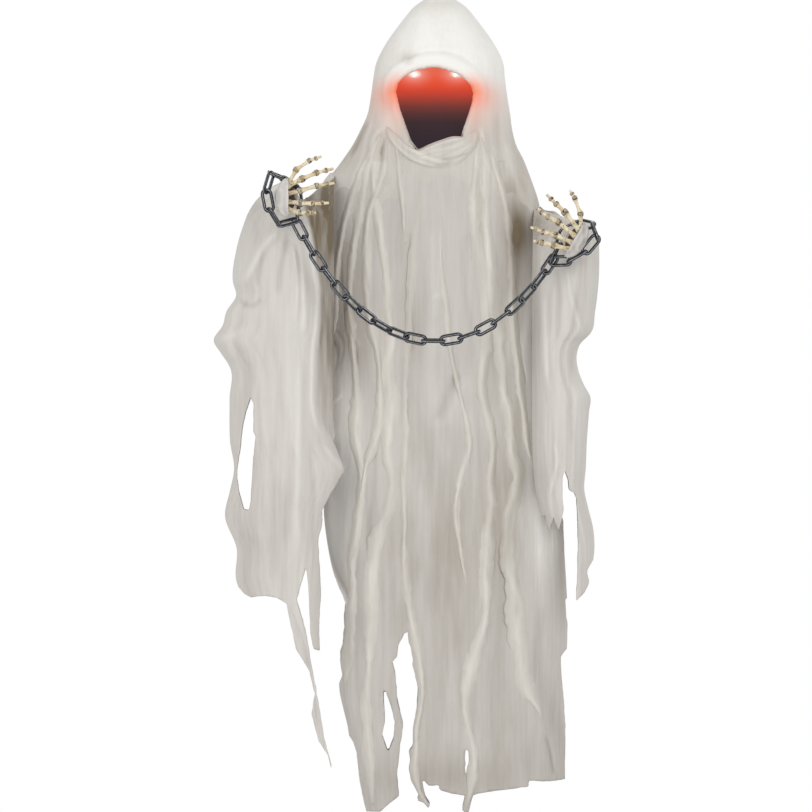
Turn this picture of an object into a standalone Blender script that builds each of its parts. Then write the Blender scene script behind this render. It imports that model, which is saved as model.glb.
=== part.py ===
"""Hanging ghost: a lit hood over a moulded head shell, a gauze robe on a shoulder bar,
padded wire arms with bone hands, and a chain slung between the two wrists.

Metres, +Z up. The viewer stands at -Y, and +X is the figure's own left.
The origin is the point inside the hanging ring where a hook bears.
"""

import math

import bmesh
import bpy
import numpy as np
from mathutils import Matrix, Vector

# Clearances and walls shared by all pieces
GAP = 0.0003
OVERRUN = 0.010
CLOTH = 0.003
SHELL_WALL = 0.003

# Hanging ring and crown clamp
RING_BORE = 0.024
RING_WIRE = 0.003
EYE_BORE = 0.010
EYE_WIRE = 0.0035
SHANK_RADIUS = 0.0025
SHANK_FIT = 0.0004
COLLAR_RADIUS = 0.006
COLLAR_THICK = 0.002
WASHER_RADIUS = 0.012
WASHER_THICK = 0.0015
NUT_RADIUS = 0.0046
NUT_THICK = 0.004

# Figure, from the crown of the hood down to the hood's edge and to the lowest hem
HOOD_DROP = 0.43364
BODY_DROP = 1.85
BODY_HALF_WIDTH = 0.26
BODY_HALF_DEPTH = 0.125
FOLD_DEPTH = 0.012
BODY_COLUMNS = 32

# Face opening in the hood, its centre above the hood's edge
FACE_X = -0.012
FACE_RISE = 0.16764
FACE_HALF_WIDTH = 0.0865
FACE_HALF_HEIGHT = 0.087
SCREEN_DEPTH = 0.050
SCREEN_WALL = 0.0015

# Light bar and its lamps, above the centre of the face
LAMP_SPACING = 0.092
LAMP_RADIUS = 0.0045
LAMP_LENGTH = 0.022
LAMP_RISE = 0.075
BAR_LIGHT_FRONT = -0.070
BAR_LIGHT_THICK = 0.012
BAR_LIGHT_HEIGHT = 0.016
BAR_LIGHT_END = 0.010
STEM_HALF_WIDTH = 0.006
CLIP_WALL = 0.003

# Post and shoulder bar
POST_RADIUS = 0.011
POST_WALL = 0.002
POST_TOP_WALL = 0.010
POST_TAIL = 0.125
SHOULDER_DROP = 0.514
SHOULDER_BAR_DEPTH = 0.014
SHOULDER_BAR_HEIGHT = 0.022
BOSS_RADIUS = 0.019
SCREW_RADIUS = 0.0018
SCREW_HEAD_RADIUS = 0.0035
SCREW_HEAD_THICK = 0.002

# Arms
ARM_WIRE_RADIUS = 0.003
ARM_SOCKET_DEPTH = 0.035
FOREARM_REACH = 0.280
FOREARM_PAD = 0.060
ARM_FIT = 0.0008
RIGHT_WRIST_X = -0.335
RIGHT_WRIST_DROP = 0.4672
LEFT_WRIST_X = 0.2925
LEFT_WRIST_DROP = 0.5572
RIGHT_ELBOW_X = -0.395
RIGHT_ELBOW_DROP = 0.565
LEFT_ELBOW_X = 0.310
LEFT_ELBOW_DROP = 0.595
ELBOW_Y = -0.070
# Thickness of the padding at the elbow and half way on, shares of the forearm's
ELBOW_PAD_SHARE = 0.33
UPPER_PAD_SHARE = 0.50

# Hands and cuffs
HAND_LENGTH = 0.120
FINGER_RADIUS = 0.0048
PALM_HALF_HEIGHT = 0.040
PALM_HALF_DEPTH = 0.0235
PALM_LENGTH = 0.034
# Where the palm is widest, and its size there and at its two ends, as shares
PALM_WIDEST_SHARE = 0.60
PALM_ROOT_SHARE = 0.96
PALM_KNUCKLE_SHARE = 0.80
CUFF_WALL = 0.004
CUFF_LENGTH = 0.024
HAND_ROOT = 0.014
RIGHT_PALM_SHIFT_X = -0.031
RIGHT_PALM_SHIFT_Z = -0.0025
LEFT_PALM_SHIFT_X = 0.030
LEFT_PALM_SHIFT_Z = -0.0183
RIGHT_HAND_TURN = math.radians(0)
LEFT_HAND_TURN = math.radians(150)

# Chain
LINK_WIRE = 0.0062
LINK_WIDTH = 0.027
LINK_INNER = 0.0411
SWAG_LINKS = 19
WRIST_LINKS = 8
WRIST_CHAIN_SETBACK = 0.020
RIGHT_HOOK_TURN = math.radians(-77)
LEFT_HOOK_TURN = math.radians(-129)

# Battery box
BOX_WIDTH = 0.048
BOX_HEIGHT = 0.066
BOX_DEPTH = 0.024
BOX_WALL = 0.002
BOX_DROP = 0.555
CELL_RADIUS = 0.00725
CELL_LENGTH = 0.0505
CONTACT_THICK = 0.0008
DOOR_THICK = 0.002
SWITCH_WIDTH = 0.006
SWITCH_HEIGHT = 0.008
SWITCH_STAND = 0.003
LEAD_RADIUS = 0.0015

# Derived heights
EYE_CENTRE_Z = -RING_BORE + GAP - EYE_BORE / 2
EYE_BOTTOM_Z = EYE_CENTRE_Z - EYE_BORE / 2 - EYE_WIRE
COLLAR_BOTTOM_Z = EYE_BOTTOM_Z - COLLAR_THICK
CROWN_Z = COLLAR_BOTTOM_Z - GAP - WASHER_THICK - GAP
SHELL_UNDER_Z = CROWN_Z - CLOTH - GAP - SHELL_WALL
NUT_TOP_Z = SHELL_UNDER_Z - GAP
POST_TOP_Z = NUT_TOP_Z - NUT_THICK - GAP
SHOULDER_Z = CROWN_Z - SHOULDER_DROP
POST_BOTTOM_Z = SHOULDER_Z - POST_TAIL
FACE_Z = CROWN_Z - HOOD_DROP + FACE_RISE
LAMP_Z = FACE_Z + LAMP_RISE
BOX_TOP_Z = CROWN_Z - BOX_DROP
CHAIN_Y = WRIST_CHAIN_SETBACK - FOREARM_REACH
LINK_PITCH = LINK_INNER - GAP
BOW_RADIUS = (LINK_WIDTH - LINK_WIRE) / 2
LOOP_APOTHEM = LINK_PITCH / (2 * math.tan(math.pi / WRIST_LINKS))
FOREARM_RADIUS = LOOP_APOTHEM - LINK_WIDTH / 2 - GAP

# Shares of the whole drop, of the half width on the figure's right and left, and of the half depth
BODY_ROW_SHARES = (
    (0.0000, 0.0120, 0.0120, 0.0248),
    (0.0000, 0.0540, 0.0540, 0.1120),
    (0.0050, 0.0960, 0.0960, 0.2000),
    (0.0117, 0.1380, 0.1380, 0.2850),
    (0.0215, 0.2310, 0.2310, 0.4640),
    (0.0398, 0.3380, 0.3380, 0.6560),
    (0.0642, 0.4620, 0.4620, 0.8160),
    (0.0871, 0.5460, 0.5420, 0.9120),
    (0.1074, 0.5750, 0.5600, 0.9440),
    (0.1290, 0.5960, 0.5800, 0.9600),
    (0.1507, 0.6250, 0.6050, 0.9600),
    (0.1698, 0.6850, 0.6230, 0.9360),
    (0.1885, 0.7540, 0.6580, 0.9040),
    (0.2074, 0.8450, 0.7250, 0.8800),
    (0.2344, 0.9800, 0.7980, 0.8560),
    (0.2588, 1.0000, 0.8540, 0.8320),
    (0.2912, 1.0000, 0.8890, 0.8160),
    (0.3344, 1.0000, 0.8890, 0.8160),
    (0.3885, 1.0000, 0.8890, 0.8160),
    (0.4425, 1.0000, 0.8890, 0.8240),
    (0.4966, 1.0000, 0.8890, 0.8560),
    (0.5507, 1.0000, 0.8890, 0.8960),
    (0.5993, 1.0000, 0.8890, 0.9360),
    (0.6425, 1.0000, 1.0600, 0.9600),
    (0.6966, 0.9400, 1.0800, 1.0000),
    (0.7507, 0.8300, 1.1000, 1.0200),
    (0.7777, 0.8200, 1.1000, 1.0200),
    (0.8425, 0.8700, 1.0850, 1.0400),
    (0.8966, 0.7900, 1.0800, 1.0600),
    (0.9398, 0.7400, 1.0800, 1.0800),
    (0.9669, 0.7000, 1.0800, 1.0800),
    (1.0000, 0.6400, 1.0800, 1.0800),
)
# How far each column of the body stands in a fold, as a share of the fold depth
FOLD_SHARES = (
    0.0, 0.5, -0.5, 0.3, -0.7, 0.5, -0.3, 0.8, -0.6, 0.4, -0.8, 0.6, -0.2, 0.7, -0.6, 0.4,
    0.0, 0.6, -0.4, 0.8, -0.7, 0.3, -0.5, 0.9, -0.3, 0.6, -0.8, 0.4, -0.6, 0.7, -0.5, 0.4,
)
SHELL_LAST_ROW = 13
HOOD_LAST_ROW = 14
HOOD_DROP_SHARE = BODY_ROW_SHARES[HOOD_LAST_ROW][0]
FOLD_START_ROW = 15
FOLD_FULL_ROW = 19
# The row at which each column of cloth ends, from the figure's left side to its right
FRONT_HEM_ROWS = (30, 30, 30, 30, 30, 30, 31, 30, 30, 26, 30, 31, 31, 29, 28, 28)
BACK_HEM_ROWS = (29, 30, 28, 30, 31, 29, 28, 30, 30, 28, 31, 30, 29, 28, 30, 30)

# Face opening, shares of its half width and half height, clockwise from the right
FACE_SHARES = (
    (1.00, 0.40), (0.93, 0.70), (0.62, 0.91), (0.16, 1.00), (-0.32, 0.95),
    (-0.80, 0.70), (-0.94, 0.42), (-0.93, 0.16), (-0.80, -0.32), (-0.58, -0.78),
    (-0.36, -1.00), (-0.02, -0.93), (0.36, -0.78), (0.62, -0.66), (0.84, -0.28), (0.96, 0.06),
)
SHELL_FACE_SHARE = 1.12
SCREEN_RIM_SHARE = 1.113
# Rings of the dark screen, shares of the opening and of the screen's depth
SCREEN_RING_SHARES = ((0.95, 0.24), (0.80, 0.60), (0.50, 0.90), (0.18, 1.00))

# Drapes and cowl: first and last column, last row, and fold height shares of the cloth
COWL_COLUMNS = (5, 12)
COWL_ROWS = (11, 13)
COWL_FOLD_SHARES = (0.3, 2.2, 0.6)
DRAPE_RIGHT_COLUMNS = (10, 12)
DRAPE_MIDDLE_COLUMNS = (6, 7)
DRAPE_LEFT_COLUMNS = (3, 5)
DRAPE_RIGHT_LAST_ROW = 24
DRAPE_MIDDLE_LAST_ROW = 23
DRAPE_LEFT_LAST_ROW = 24

# Sleeves, hanging from the arms beside the robe
SLEEVE_COLUMNS = 16
SLEEVE_GAP = 0.002
SLEEVE_HALF_DEPTH = 0.120
SLEEVE_CENTRE_Y = -0.090
RIGHT_SLEEVE_WIDTH = 0.240
LEFT_SLEEVE_WIDTH = 0.124
# Sleeve rows as shares: of the drop, the near and the far edge across the width, the half depth
RIGHT_SLEEVE_SHARES = (
    (0.2360, 0.08, 0.52, 0.55),
    (0.2480, 0.02, 0.60, 0.80),
    (0.2700, 0.00, 0.70, 0.96),
    (0.3020, 0.00, 0.77, 1.00),
    (0.3510, 0.00, 0.83, 1.00),
    (0.3890, 0.00, 0.91, 1.00),
    (0.4270, 0.00, 1.00, 0.98),
    (0.4640, 0.00, 0.86, 0.96),
    (0.5190, 0.02, 0.87, 0.96),
    (0.5780, 0.00, 0.83, 0.94),
    (0.6380, 0.02, 0.91, 0.92),
    (0.6860, 0.02, 0.80, 0.88),
    (0.7400, 0.02, 0.72, 0.84),
    (0.8050, 0.00, 0.56, 0.70),
    (0.8750, 0.00, 0.44, 0.60),
    (0.9450, 0.00, 0.32, 0.50),
)
RIGHT_SLEEVE_HEM_ROWS = (12, 13, 13, 15, 15, 12, 12, 12, 11, 12, 11, 12, 13, 12, 11, 12)
RIGHT_SLEEVE_HOLES = ((6, 8), (6, 9), (9, 8), (9, 9))
LEFT_SLEEVE_SHARES = (
    (0.2680, 0.00, 0.42, 0.40),
    (0.2800, 0.00, 0.80, 0.70),
    (0.3020, 0.00, 0.96, 0.90),
    (0.3340, 0.00, 1.00, 1.00),
    (0.3890, 0.00, 0.93, 1.00),
    (0.4270, 0.00, 0.81, 0.98),
    (0.4420, 0.00, 0.58, 0.96),
    (0.4800, 0.00, 0.74, 0.95),
    (0.5350, 0.00, 0.82, 0.93),
    (0.5720, 0.20, 0.76, 0.80),
    (0.6070, 0.46, 0.72, 0.50),
    (0.6530, 0.58, 0.88, 0.42),
    (0.6960, 0.56, 0.87, 0.36),
    (0.7410, 0.54, 0.74, 0.24),
)
LEFT_SLEEVE_HEM_ROWS = (13, 13, 12, 13, 13, 12, 13, 13, 12, 13, 13, 12, 13, 13, 12, 13)

# Finger points: shares of the hand's reach along it, across it and towards the viewer
RIGHT_FINGER_SHARES = (
    ((0.13, 0.27, 0.0), (0.25, 0.525, 0.05), (0.50, 0.694, 0.10), (0.72, 0.77, 0.14)),
    ((0.13, 0.20, 0.0), (0.366, 0.356, 0.06), (0.638, 0.469, 0.10), (0.947, 0.544, 0.08)),
    ((0.13, 0.07, 0.0), (0.328, 0.131, 0.06), (0.64, 0.225, 0.10), (0.985, 0.281, 0.08)),
    ((0.13, -0.07, 0.0), (0.328, -0.094, 0.06), (0.563, -0.113, 0.12), (0.872, -0.094, 0.12)),
    ((0.13, -0.20, 0.0), (0.328, -0.281, 0.05), (0.48, -0.285, 0.12), (0.628, -0.281, 0.16)),
)
LEFT_FINGER_SHARES = (
    ((0.13, 0.27, 0.0), (0.24, 0.47, 0.05), (0.486, 0.673, 0.08), (0.625, 0.745, 0.06)),
    ((0.13, 0.18, 0.0), (0.518, 0.351, 0.07), (0.72, 0.40, 0.11), (0.96, 0.463, 0.08)),
    ((0.13, 0.05, 0.0), (0.53, 0.128, 0.07), (0.737, 0.116, 0.12), (0.99, 0.143, 0.10)),
    ((0.13, -0.07, 0.0), (0.456, -0.11, 0.07), (0.68, -0.175, 0.14), (0.936, -0.216, 0.16)),
    ((0.13, -0.20, 0.0), (0.394, -0.293, 0.05), (0.597, -0.355, 0.12), (0.749, -0.411, 0.16)),
)
BONE_RADIUS_SHARES = (1.25, 0.80, 1.15, 0.70, 1.00, 0.62, 0.50)

# Facets of the round pieces
ROUND_SIDES = 16
WIRE_SIDES = 6
BONE_SIDES = 6
ARM_SIDES = 8
RING_STEPS = 16
BOW_STEPS = 4
HOOK_PASSES = 6
PALM_SIDES = 12
SMALL_SIDES = 12
THIN_SIDES = 8
SMOOTH_LIMIT = math.radians(40)
LENS_TURNS = (math.radians(45), math.radians(80))
CURVE_PASSES = 200
CURVE_LIMIT_SHARES = (1e-6, 10.0)


def clear_scene():
    for thing in list(bpy.data.objects):
        bpy.data.objects.remove(thing, do_unlink=True)


def material(name, colour, roughness, metallic=0.0):
    made = bpy.data.materials.new(name)
    made.use_nodes = True
    shader = made.node_tree.nodes["Principled BSDF"]
    shader.inputs["Base Color"].default_value = (*colour, 1.0)
    shader.inputs["Roughness"].default_value = roughness
    shader.inputs["Metallic"].default_value = metallic
    return made


def add_mesh(name, points, faces):
    """A mesh whose faces all point outwards."""
    mesh = bpy.data.meshes.new(name)
    mesh.from_pydata([tuple(map(float, p)) for p in points], [], faces)
    work = bmesh.new()
    work.from_mesh(mesh)
    bmesh.ops.recalc_face_normals(work, faces=work.faces)
    work.to_mesh(mesh)
    work.free()
    mesh.shade_smooth()
    mesh.set_sharp_from_angle(angle=SMOOTH_LIMIT)
    return mesh


def place(name, mesh, look, matrix=None, parent=None):
    made = bpy.data.objects.new(name, mesh)
    bpy.context.collection.objects.link(made)
    if not mesh.materials:
        mesh.materials.append(look)
    made.matrix_world = matrix or Matrix.Identity(4)
    if parent:
        made.parent = parent
        made.matrix_parent_inverse = parent.matrix_world.inverted()
    return made


def pivot(name, spot):
    """An empty on a joint's axis, which carries the pieces that turn or slide there."""
    made = bpy.data.objects.new(name, None)
    bpy.context.collection.objects.link(made)
    made.matrix_world = Matrix.Translation(spot)
    return made


def combine(target, tool, operation):
    """Cut, join or keep what is shared with a hidden tool."""
    tool.hide_render = True
    tool.display_type = "WIRE"
    step = target.modifiers.new(tool.name, "BOOLEAN")
    step.operation = operation
    step.solver = "EXACT"
    step.object = tool


def skin(rings, looped=False):
    """Points and faces of a solid whose surface runs through rings of equal count."""
    count = len(rings[0])
    points = [p for ring in rings for p in ring]
    faces = []
    spans = len(rings) if looped else len(rings) - 1
    for j in range(spans):
        low, high = j * count, (j + 1) % len(rings) * count
        for i in range(count):
            k = (i + 1) % count
            faces.append((low + i, low + k, high + k, high + i))
    if not looped:
        faces.append(tuple(range(count)))
        faces.append(tuple((len(rings) - 1) * count + i for i in range(count)))
    return points, faces


def round_ring(centre, across, up, radius_across, radius_up, sides):
    turns = np.linspace(0, 2 * math.pi, sides, endpoint=False)[:, None]
    return (
        np.asarray(centre)
        + np.cos(turns) * radius_across * np.asarray(across)
        + np.sin(turns) * radius_up * np.asarray(up)
    )


def tube(name, route, radii, sides, side_hint):
    """A tube through a route, its sections square to the mean direction at each point."""
    route = np.asarray(route, float)
    steps = np.diff(route, axis=0)
    steps /= np.linalg.norm(steps, axis=1)[:, None]
    ways = np.vstack([steps[:1], steps[:-1] + steps[1:], steps[-1:]])
    ways /= np.linalg.norm(ways, axis=1)[:, None]
    rings = []
    for spot, way, radius in zip(route, ways, radii):
        up = np.asarray(side_hint, float) - way * np.dot(side_hint, way)
        up /= np.linalg.norm(up)
        rings.append(round_ring(spot, np.cross(way, up), up, radius, radius, sides))
    return add_mesh(name, *skin(rings))


def box_mesh(name, low, high):
    (x0, y0, z0), (x1, y1, z1) = low, high
    lower = [(x0, y0, z0), (x1, y0, z0), (x1, y1, z0), (x0, y1, z0)]
    upper = [(x, y, z1) for x, y, _ in lower]
    return add_mesh(name, *skin([lower, upper]))


def turned(name, profile, axis_spot=(0.0, 0.0, 0.0), along="z", sides=ROUND_SIDES, closed=False):
    """A solid turned about an axis from (radius, place along the axis) pairs."""
    ways = {"z": ((1, 0, 0), (0, 1, 0), (0, 0, 1)), "y": ((1, 0, 0), (0, 0, 1), (0, 1, 0))}
    across, up, axis = (np.array(way, float) for way in ways[along])
    rings = [
        round_ring(np.asarray(axis_spot) + axis * height, across, up, radius, radius, sides)
        for radius, height in profile
    ]
    return add_mesh(name, *skin(rings, looped=closed))


def wire_ring(name, centre, radius, wire_radius, axis):
    """A closed ring of round wire about the x or y axis, its wire's corners facing in and out."""
    turns = np.linspace(0, 2 * math.pi, RING_STEPS, endpoint=False)
    out_ways = {
        "y": lambda t: np.array((math.cos(t), 0.0, math.sin(t))),
        "x": lambda t: np.array((0.0, math.cos(t), math.sin(t))),
    }
    axis_way = {"y": np.array((0.0, 1.0, 0.0)), "x": np.array((1.0, 0.0, 0.0))}[axis]
    rings = []
    for turn in turns:
        out = out_ways[axis](turn)
        spot = np.asarray(centre) + out * radius
        rings.append(round_ring(spot, out, axis_way, wire_radius, wire_radius, WIRE_SIDES))
    return add_mesh(name, *skin(rings, looped=True))


def grid_normals(grid, wrap):
    """Unit normals of a grid of points, from the steps to the neighbours along both ways."""
    if wrap:
        across = np.roll(grid, -1, axis=1) - np.roll(grid, 1, axis=1)
    else:
        across = np.gradient(grid, axis=1)
    down = np.gradient(grid, axis=0)
    normals = np.cross(across, down)
    return normals / np.linalg.norm(normals, axis=2)[:, :, None]


def cloth_mesh(name, outer, inner, last_rows, wrap=False, capped=False, holes=()):
    """A closed sheet between two grids, each column of cells ending at its own row."""
    rows, columns = outer.shape[:2]
    points = np.vstack([outer.reshape(-1, 3), inner.reshape(-1, 3)])
    layer = rows * columns
    cells = {
        (j, i)
        for i, last in enumerate(last_rows)
        for j in range(last)
        if (i, j) not in holes
    }
    faces = []
    edges = {}
    for j, i in sorted(cells):
        k = (i + 1) % columns if wrap else i + 1
        loop = (j * columns + i, j * columns + k, (j + 1) * columns + k, (j + 1) * columns + i)
        # Both faces split along the same diagonal, so that nested layers stay parallel
        for half in ((0, 1, 2), (0, 2, 3)):
            faces.append(tuple(loop[n] for n in half))
            faces.append(tuple(layer + loop[n] for n in reversed(half)))
        for a, b in zip(loop, loop[1:] + loop[:1]):
            key = (min(a, b), max(a, b))
            edges[key] = edges.get(key, 0) + 1
    top = {(min(i, (i + 1) % columns), max(i, (i + 1) % columns)) for i in range(columns)}
    for (a, b), uses in edges.items():
        if uses == 1 and not (capped and (a, b) in top):
            faces.append((a, b, layer + b, layer + a))
    if capped:
        faces.append(tuple(range(columns)))
        faces.append(tuple(layer + i for i in range(columns)))
    used = sorted({v for face in faces for v in face})
    index = {v: n for n, v in enumerate(used)}
    return add_mesh(name, points[used], [tuple(index[v] for v in face) for face in faces])


def heights(drop_shares):
    """Heights of rows: those of the hood follow its own drop, and the rest what hangs below it."""
    hood = np.minimum(drop_shares / HOOD_DROP_SHARE, 1.0)
    below = np.maximum(drop_shares - HOOD_DROP_SHARE, 0.0) / (1.0 - HOOD_DROP_SHARE)
    return CROWN_Z - hood * HOOD_DROP - below * (BODY_DROP - HOOD_DROP)


def body_grid():
    """The figure's outline as ellipses down its height, with folds below the shoulders."""
    shares = np.array(BODY_ROW_SHARES)
    turns = np.linspace(0, 2 * math.pi, BODY_COLUMNS, endpoint=False)[None, :]
    right, left, deep = (shares[:, k, None] for k in (1, 2, 3))
    wide = np.where(np.cos(turns) > 0, left, right) * BODY_HALF_WIDTH
    ramp = (np.arange(len(shares)) - FOLD_START_ROW) / (FOLD_FULL_ROW - FOLD_START_ROW)
    fold = np.clip(ramp, 0, 1)[:, None] * np.array(FOLD_SHARES)[None, :] * FOLD_DEPTH
    reach = deep * BODY_HALF_DEPTH + fold
    x = wide * np.cos(turns)
    y = -reach * np.sin(turns)
    z = np.broadcast_to(heights(shares[:, 0, None]), x.shape)
    return np.stack([x, y, z], axis=2)


BODY = body_grid()
BODY_NORMALS = grid_normals(BODY, wrap=True)
BODY_NORMALS[:2] = (0.0, 0.0, 1.0)


def body_layer(depth):
    """The figure's surface moved in by a depth, square to itself."""
    return BODY - BODY_NORMALS * depth


def front_y(x, z, depth):
    """The front of the body's layer at a place seen from the front."""
    grid = body_layer(depth)
    levels = grid[:, BODY_COLUMNS // 4, 2]
    last = int(np.argmax(levels < z))
    share = (levels[last - 1] - z) / (levels[last - 1] - levels[last])
    line = grid[last - 1] * (1 - share) + grid[last] * share
    spots = line[: BODY_COLUMNS // 2 + 1][::-1]
    return float(np.interp(x, spots[:, 0], spots[:, 1]))


def wall_x(left, y, z, depth):
    """Where the side of the body's layer lies at a small depth y and a height z."""
    grid = body_layer(depth)
    first, second = (0, 1) if left else (BODY_COLUMNS // 2, BODY_COLUMNS // 2 - 1)
    side = [np.interp(-z, -grid[2:, i, 2], grid[2:, i, 0]) for i in (first, second)]
    deep = abs(np.interp(-z, -grid[2:, second, 2], grid[2:, second, 1]))
    return side[0] + (side[1] - side[0]) * abs(y) / deep


def face_outline(share):
    """The face opening's outline in x and z, scaled about its centre."""
    return [
        (FACE_X + x * FACE_HALF_WIDTH * share, FACE_Z + z * FACE_HALF_HEIGHT * share)
        for x, z in FACE_SHARES
    ]


def face_cutter(name, share):
    """A prism of the face opening through the front of the head."""
    outline = face_outline(share)
    near = [(x, -BODY_HALF_DEPTH - OVERRUN, z) for x, z in outline]
    far = [(x, 0.0, z) for x, z in outline]
    return place(name, add_mesh(name, *skin([near, far])), LOOKS["steel"])


def make_ring_and_crown():
    ring_radius = (RING_BORE + RING_WIRE) / 2
    ring_pivot = pivot("hang_ring_pivot", (0.0, 0.0, -RING_BORE))
    ring = wire_ring("hang_ring", (0, 0, -RING_BORE / 2), ring_radius, RING_WIRE / 2, "y")
    place("hang_ring", ring, LOOKS["steel"], parent=ring_pivot)

    eye_radius = (EYE_BORE + EYE_WIRE) / 2
    eye = wire_ring("crown_eye_bolt", (0, 0, EYE_CENTRE_Z), eye_radius, EYE_WIRE / 2, "x")
    bolt = place("crown_eye_bolt", eye, LOOKS["steel"])
    shank_end = POST_TOP_Z - POST_TOP_WALL
    collar_top = EYE_BOTTOM_Z + EYE_WIRE / 2
    profile = [
        (COLLAR_RADIUS, collar_top),
        (COLLAR_RADIUS, COLLAR_BOTTOM_Z),
        (SHANK_RADIUS, COLLAR_BOTTOM_Z),
        (SHANK_RADIUS, shank_end),
    ]
    shank = place("eye_shank", turned("eye_shank", profile), LOOKS["steel"])
    combine(bolt, shank, "UNION")

    bore = SHANK_RADIUS + SHANK_FIT
    washer_top = COLLAR_BOTTOM_Z - GAP
    washer = turned(
        "crown_washer",
        [
            (bore, washer_top),
            (WASHER_RADIUS, washer_top),
            (WASHER_RADIUS, washer_top - WASHER_THICK),
            (bore, washer_top - WASHER_THICK),
        ],
        closed=True,
    )
    place("crown_washer", washer, LOOKS["steel"])
    nut_low = NUT_TOP_Z - NUT_THICK
    nut = turned(
        "crown_nut",
        [(bore, NUT_TOP_Z), (NUT_RADIUS, NUT_TOP_Z), (NUT_RADIUS, nut_low), (bore, nut_low)],
        sides=6,
        closed=True,
    )
    place("crown_nut", nut, LOOKS["steel"])


def make_head():
    columns = [HOOD_LAST_ROW] * BODY_COLUMNS
    hood = cloth_mesh("hood_cloth", body_layer(0.0), body_layer(CLOTH), columns, wrap=True)
    hood = place("hood_cloth", hood, LOOKS["hood"])
    combine(hood, face_cutter("hood_face_cutter", 1.0), "DIFFERENCE")

    outer = body_layer(CLOTH + GAP)
    inner = body_layer(CLOTH + GAP + SHELL_WALL)
    columns = [SHELL_LAST_ROW] * BODY_COLUMNS
    shell = cloth_mesh("head_shell", outer, inner, columns, wrap=True)
    shell = place("head_shell", shell, LOOKS["shell"])
    combine(shell, face_cutter("shell_face_cutter", SHELL_FACE_SHARE), "DIFFERENCE")


def screen_rings(depth_shift):
    """Rings of the screen's bowl, from the rim that lies in the shell's opening inwards."""
    rim_depth = CLOTH + GAP + GAP
    outline = face_outline(SCREEN_RIM_SHARE)
    rim = [(x, front_y(x, z, rim_depth) + depth_shift, z) for x, z in outline]
    near_y = min(y for _, y, _ in rim)
    rings = [rim]
    for share, deep in SCREEN_RING_SHARES:
        level = near_y + SCREEN_DEPTH * deep + depth_shift
        ring = [
            (x, max(level, rim_spot[1] + depth_shift), z)
            for (x, z), rim_spot in zip(face_outline(share), rim)
        ]
        rings.append(ring)
    return rings


def make_screen():
    front = np.array(screen_rings(0.0))
    back = np.array(screen_rings(SCREEN_WALL))
    back[1:, :, 1] += SCREEN_WALL
    count = len(FACE_SHARES)
    rows = len(front)
    points = np.vstack([front.reshape(-1, 3), back.reshape(-1, 3)])
    layer = rows * count
    faces = []
    for j in range(rows - 1):
        for i in range(count):
            k = (i + 1) % count
            loop = (j * count + i, j * count + k, (j + 1) * count + k, (j + 1) * count + i)
            faces.append(loop)
            faces.append(tuple(layer + v for v in reversed(loop)))
    for i in range(count):
        k = (i + 1) % count
        faces.append((i, k, layer + k, layer + i))
    faces.append(tuple((rows - 1) * count + i for i in range(count)))
    faces.append(tuple(layer + (rows - 1) * count + i for i in range(count)))
    screen = place("face_screen", add_mesh("face_screen", points, faces), LOOKS["screen"])
    for side in (-1, 1):
        spot = (FACE_X + side * LAMP_SPACING / 2, 0.0, LAMP_Z)
        near = BAR_LIGHT_FRONT - LAMP_LENGTH - OVERRUN
        radius = LAMP_RADIUS + GAP
        way = [(radius, near), (radius, BAR_LIGHT_FRONT)]
        hole = turned("lamp_hole", way, spot, "y", SMALL_SIDES)
        combine(screen, place(f"lamp_hole_{side}", hole, LOOKS["steel"]), "DIFFERENCE")


def make_light():
    half = LAMP_SPACING / 2 + LAMP_RADIUS + BAR_LIGHT_END
    low = (FACE_X - half, BAR_LIGHT_FRONT, LAMP_Z - BAR_LIGHT_HEIGHT / 2)
    high = (FACE_X + half, BAR_LIGHT_FRONT + BAR_LIGHT_THICK, LAMP_Z + BAR_LIGHT_HEIGHT / 2)
    bar = place("light_bar", box_mesh("light_bar", low, high), LOOKS["shell"])
    clip_radius = POST_RADIUS + GAP + CLIP_WALL
    stem_low = (-STEM_HALF_WIDTH, BAR_LIGHT_FRONT + BAR_LIGHT_THICK / 2, low[2])
    stem_high = (STEM_HALF_WIDTH, -POST_RADIUS - CLIP_WALL / 2, high[2])
    stem = box_mesh("light_stem", stem_low, stem_high)
    combine(bar, place("light_stem", stem, LOOKS["shell"]), "UNION")
    clip = turned(
        "light_clip",
        [
            (POST_RADIUS + GAP, low[2]),
            (clip_radius, low[2]),
            (clip_radius, high[2]),
            (POST_RADIUS + GAP, high[2]),
        ],
        closed=True,
    )
    combine(bar, place("light_clip", clip, LOOKS["shell"]), "UNION")
    for name, side in (("led_right", -1), ("led_left", 1)):
        spot = (FACE_X + side * LAMP_SPACING / 2, 0.0, LAMP_Z)
        front = BAR_LIGHT_FRONT - GAP
        tip = front - LAMP_LENGTH
        lens = [(LAMP_RADIUS, front), (LAMP_RADIUS, tip + LAMP_RADIUS)]
        lens += [
            (LAMP_RADIUS * math.cos(turn), tip + LAMP_RADIUS * (1 - math.sin(turn)))
            for turn in LENS_TURNS
        ]
        place(name, turned(name, lens, spot, "y", SMALL_SIDES), LOOKS["lamp"])


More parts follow.
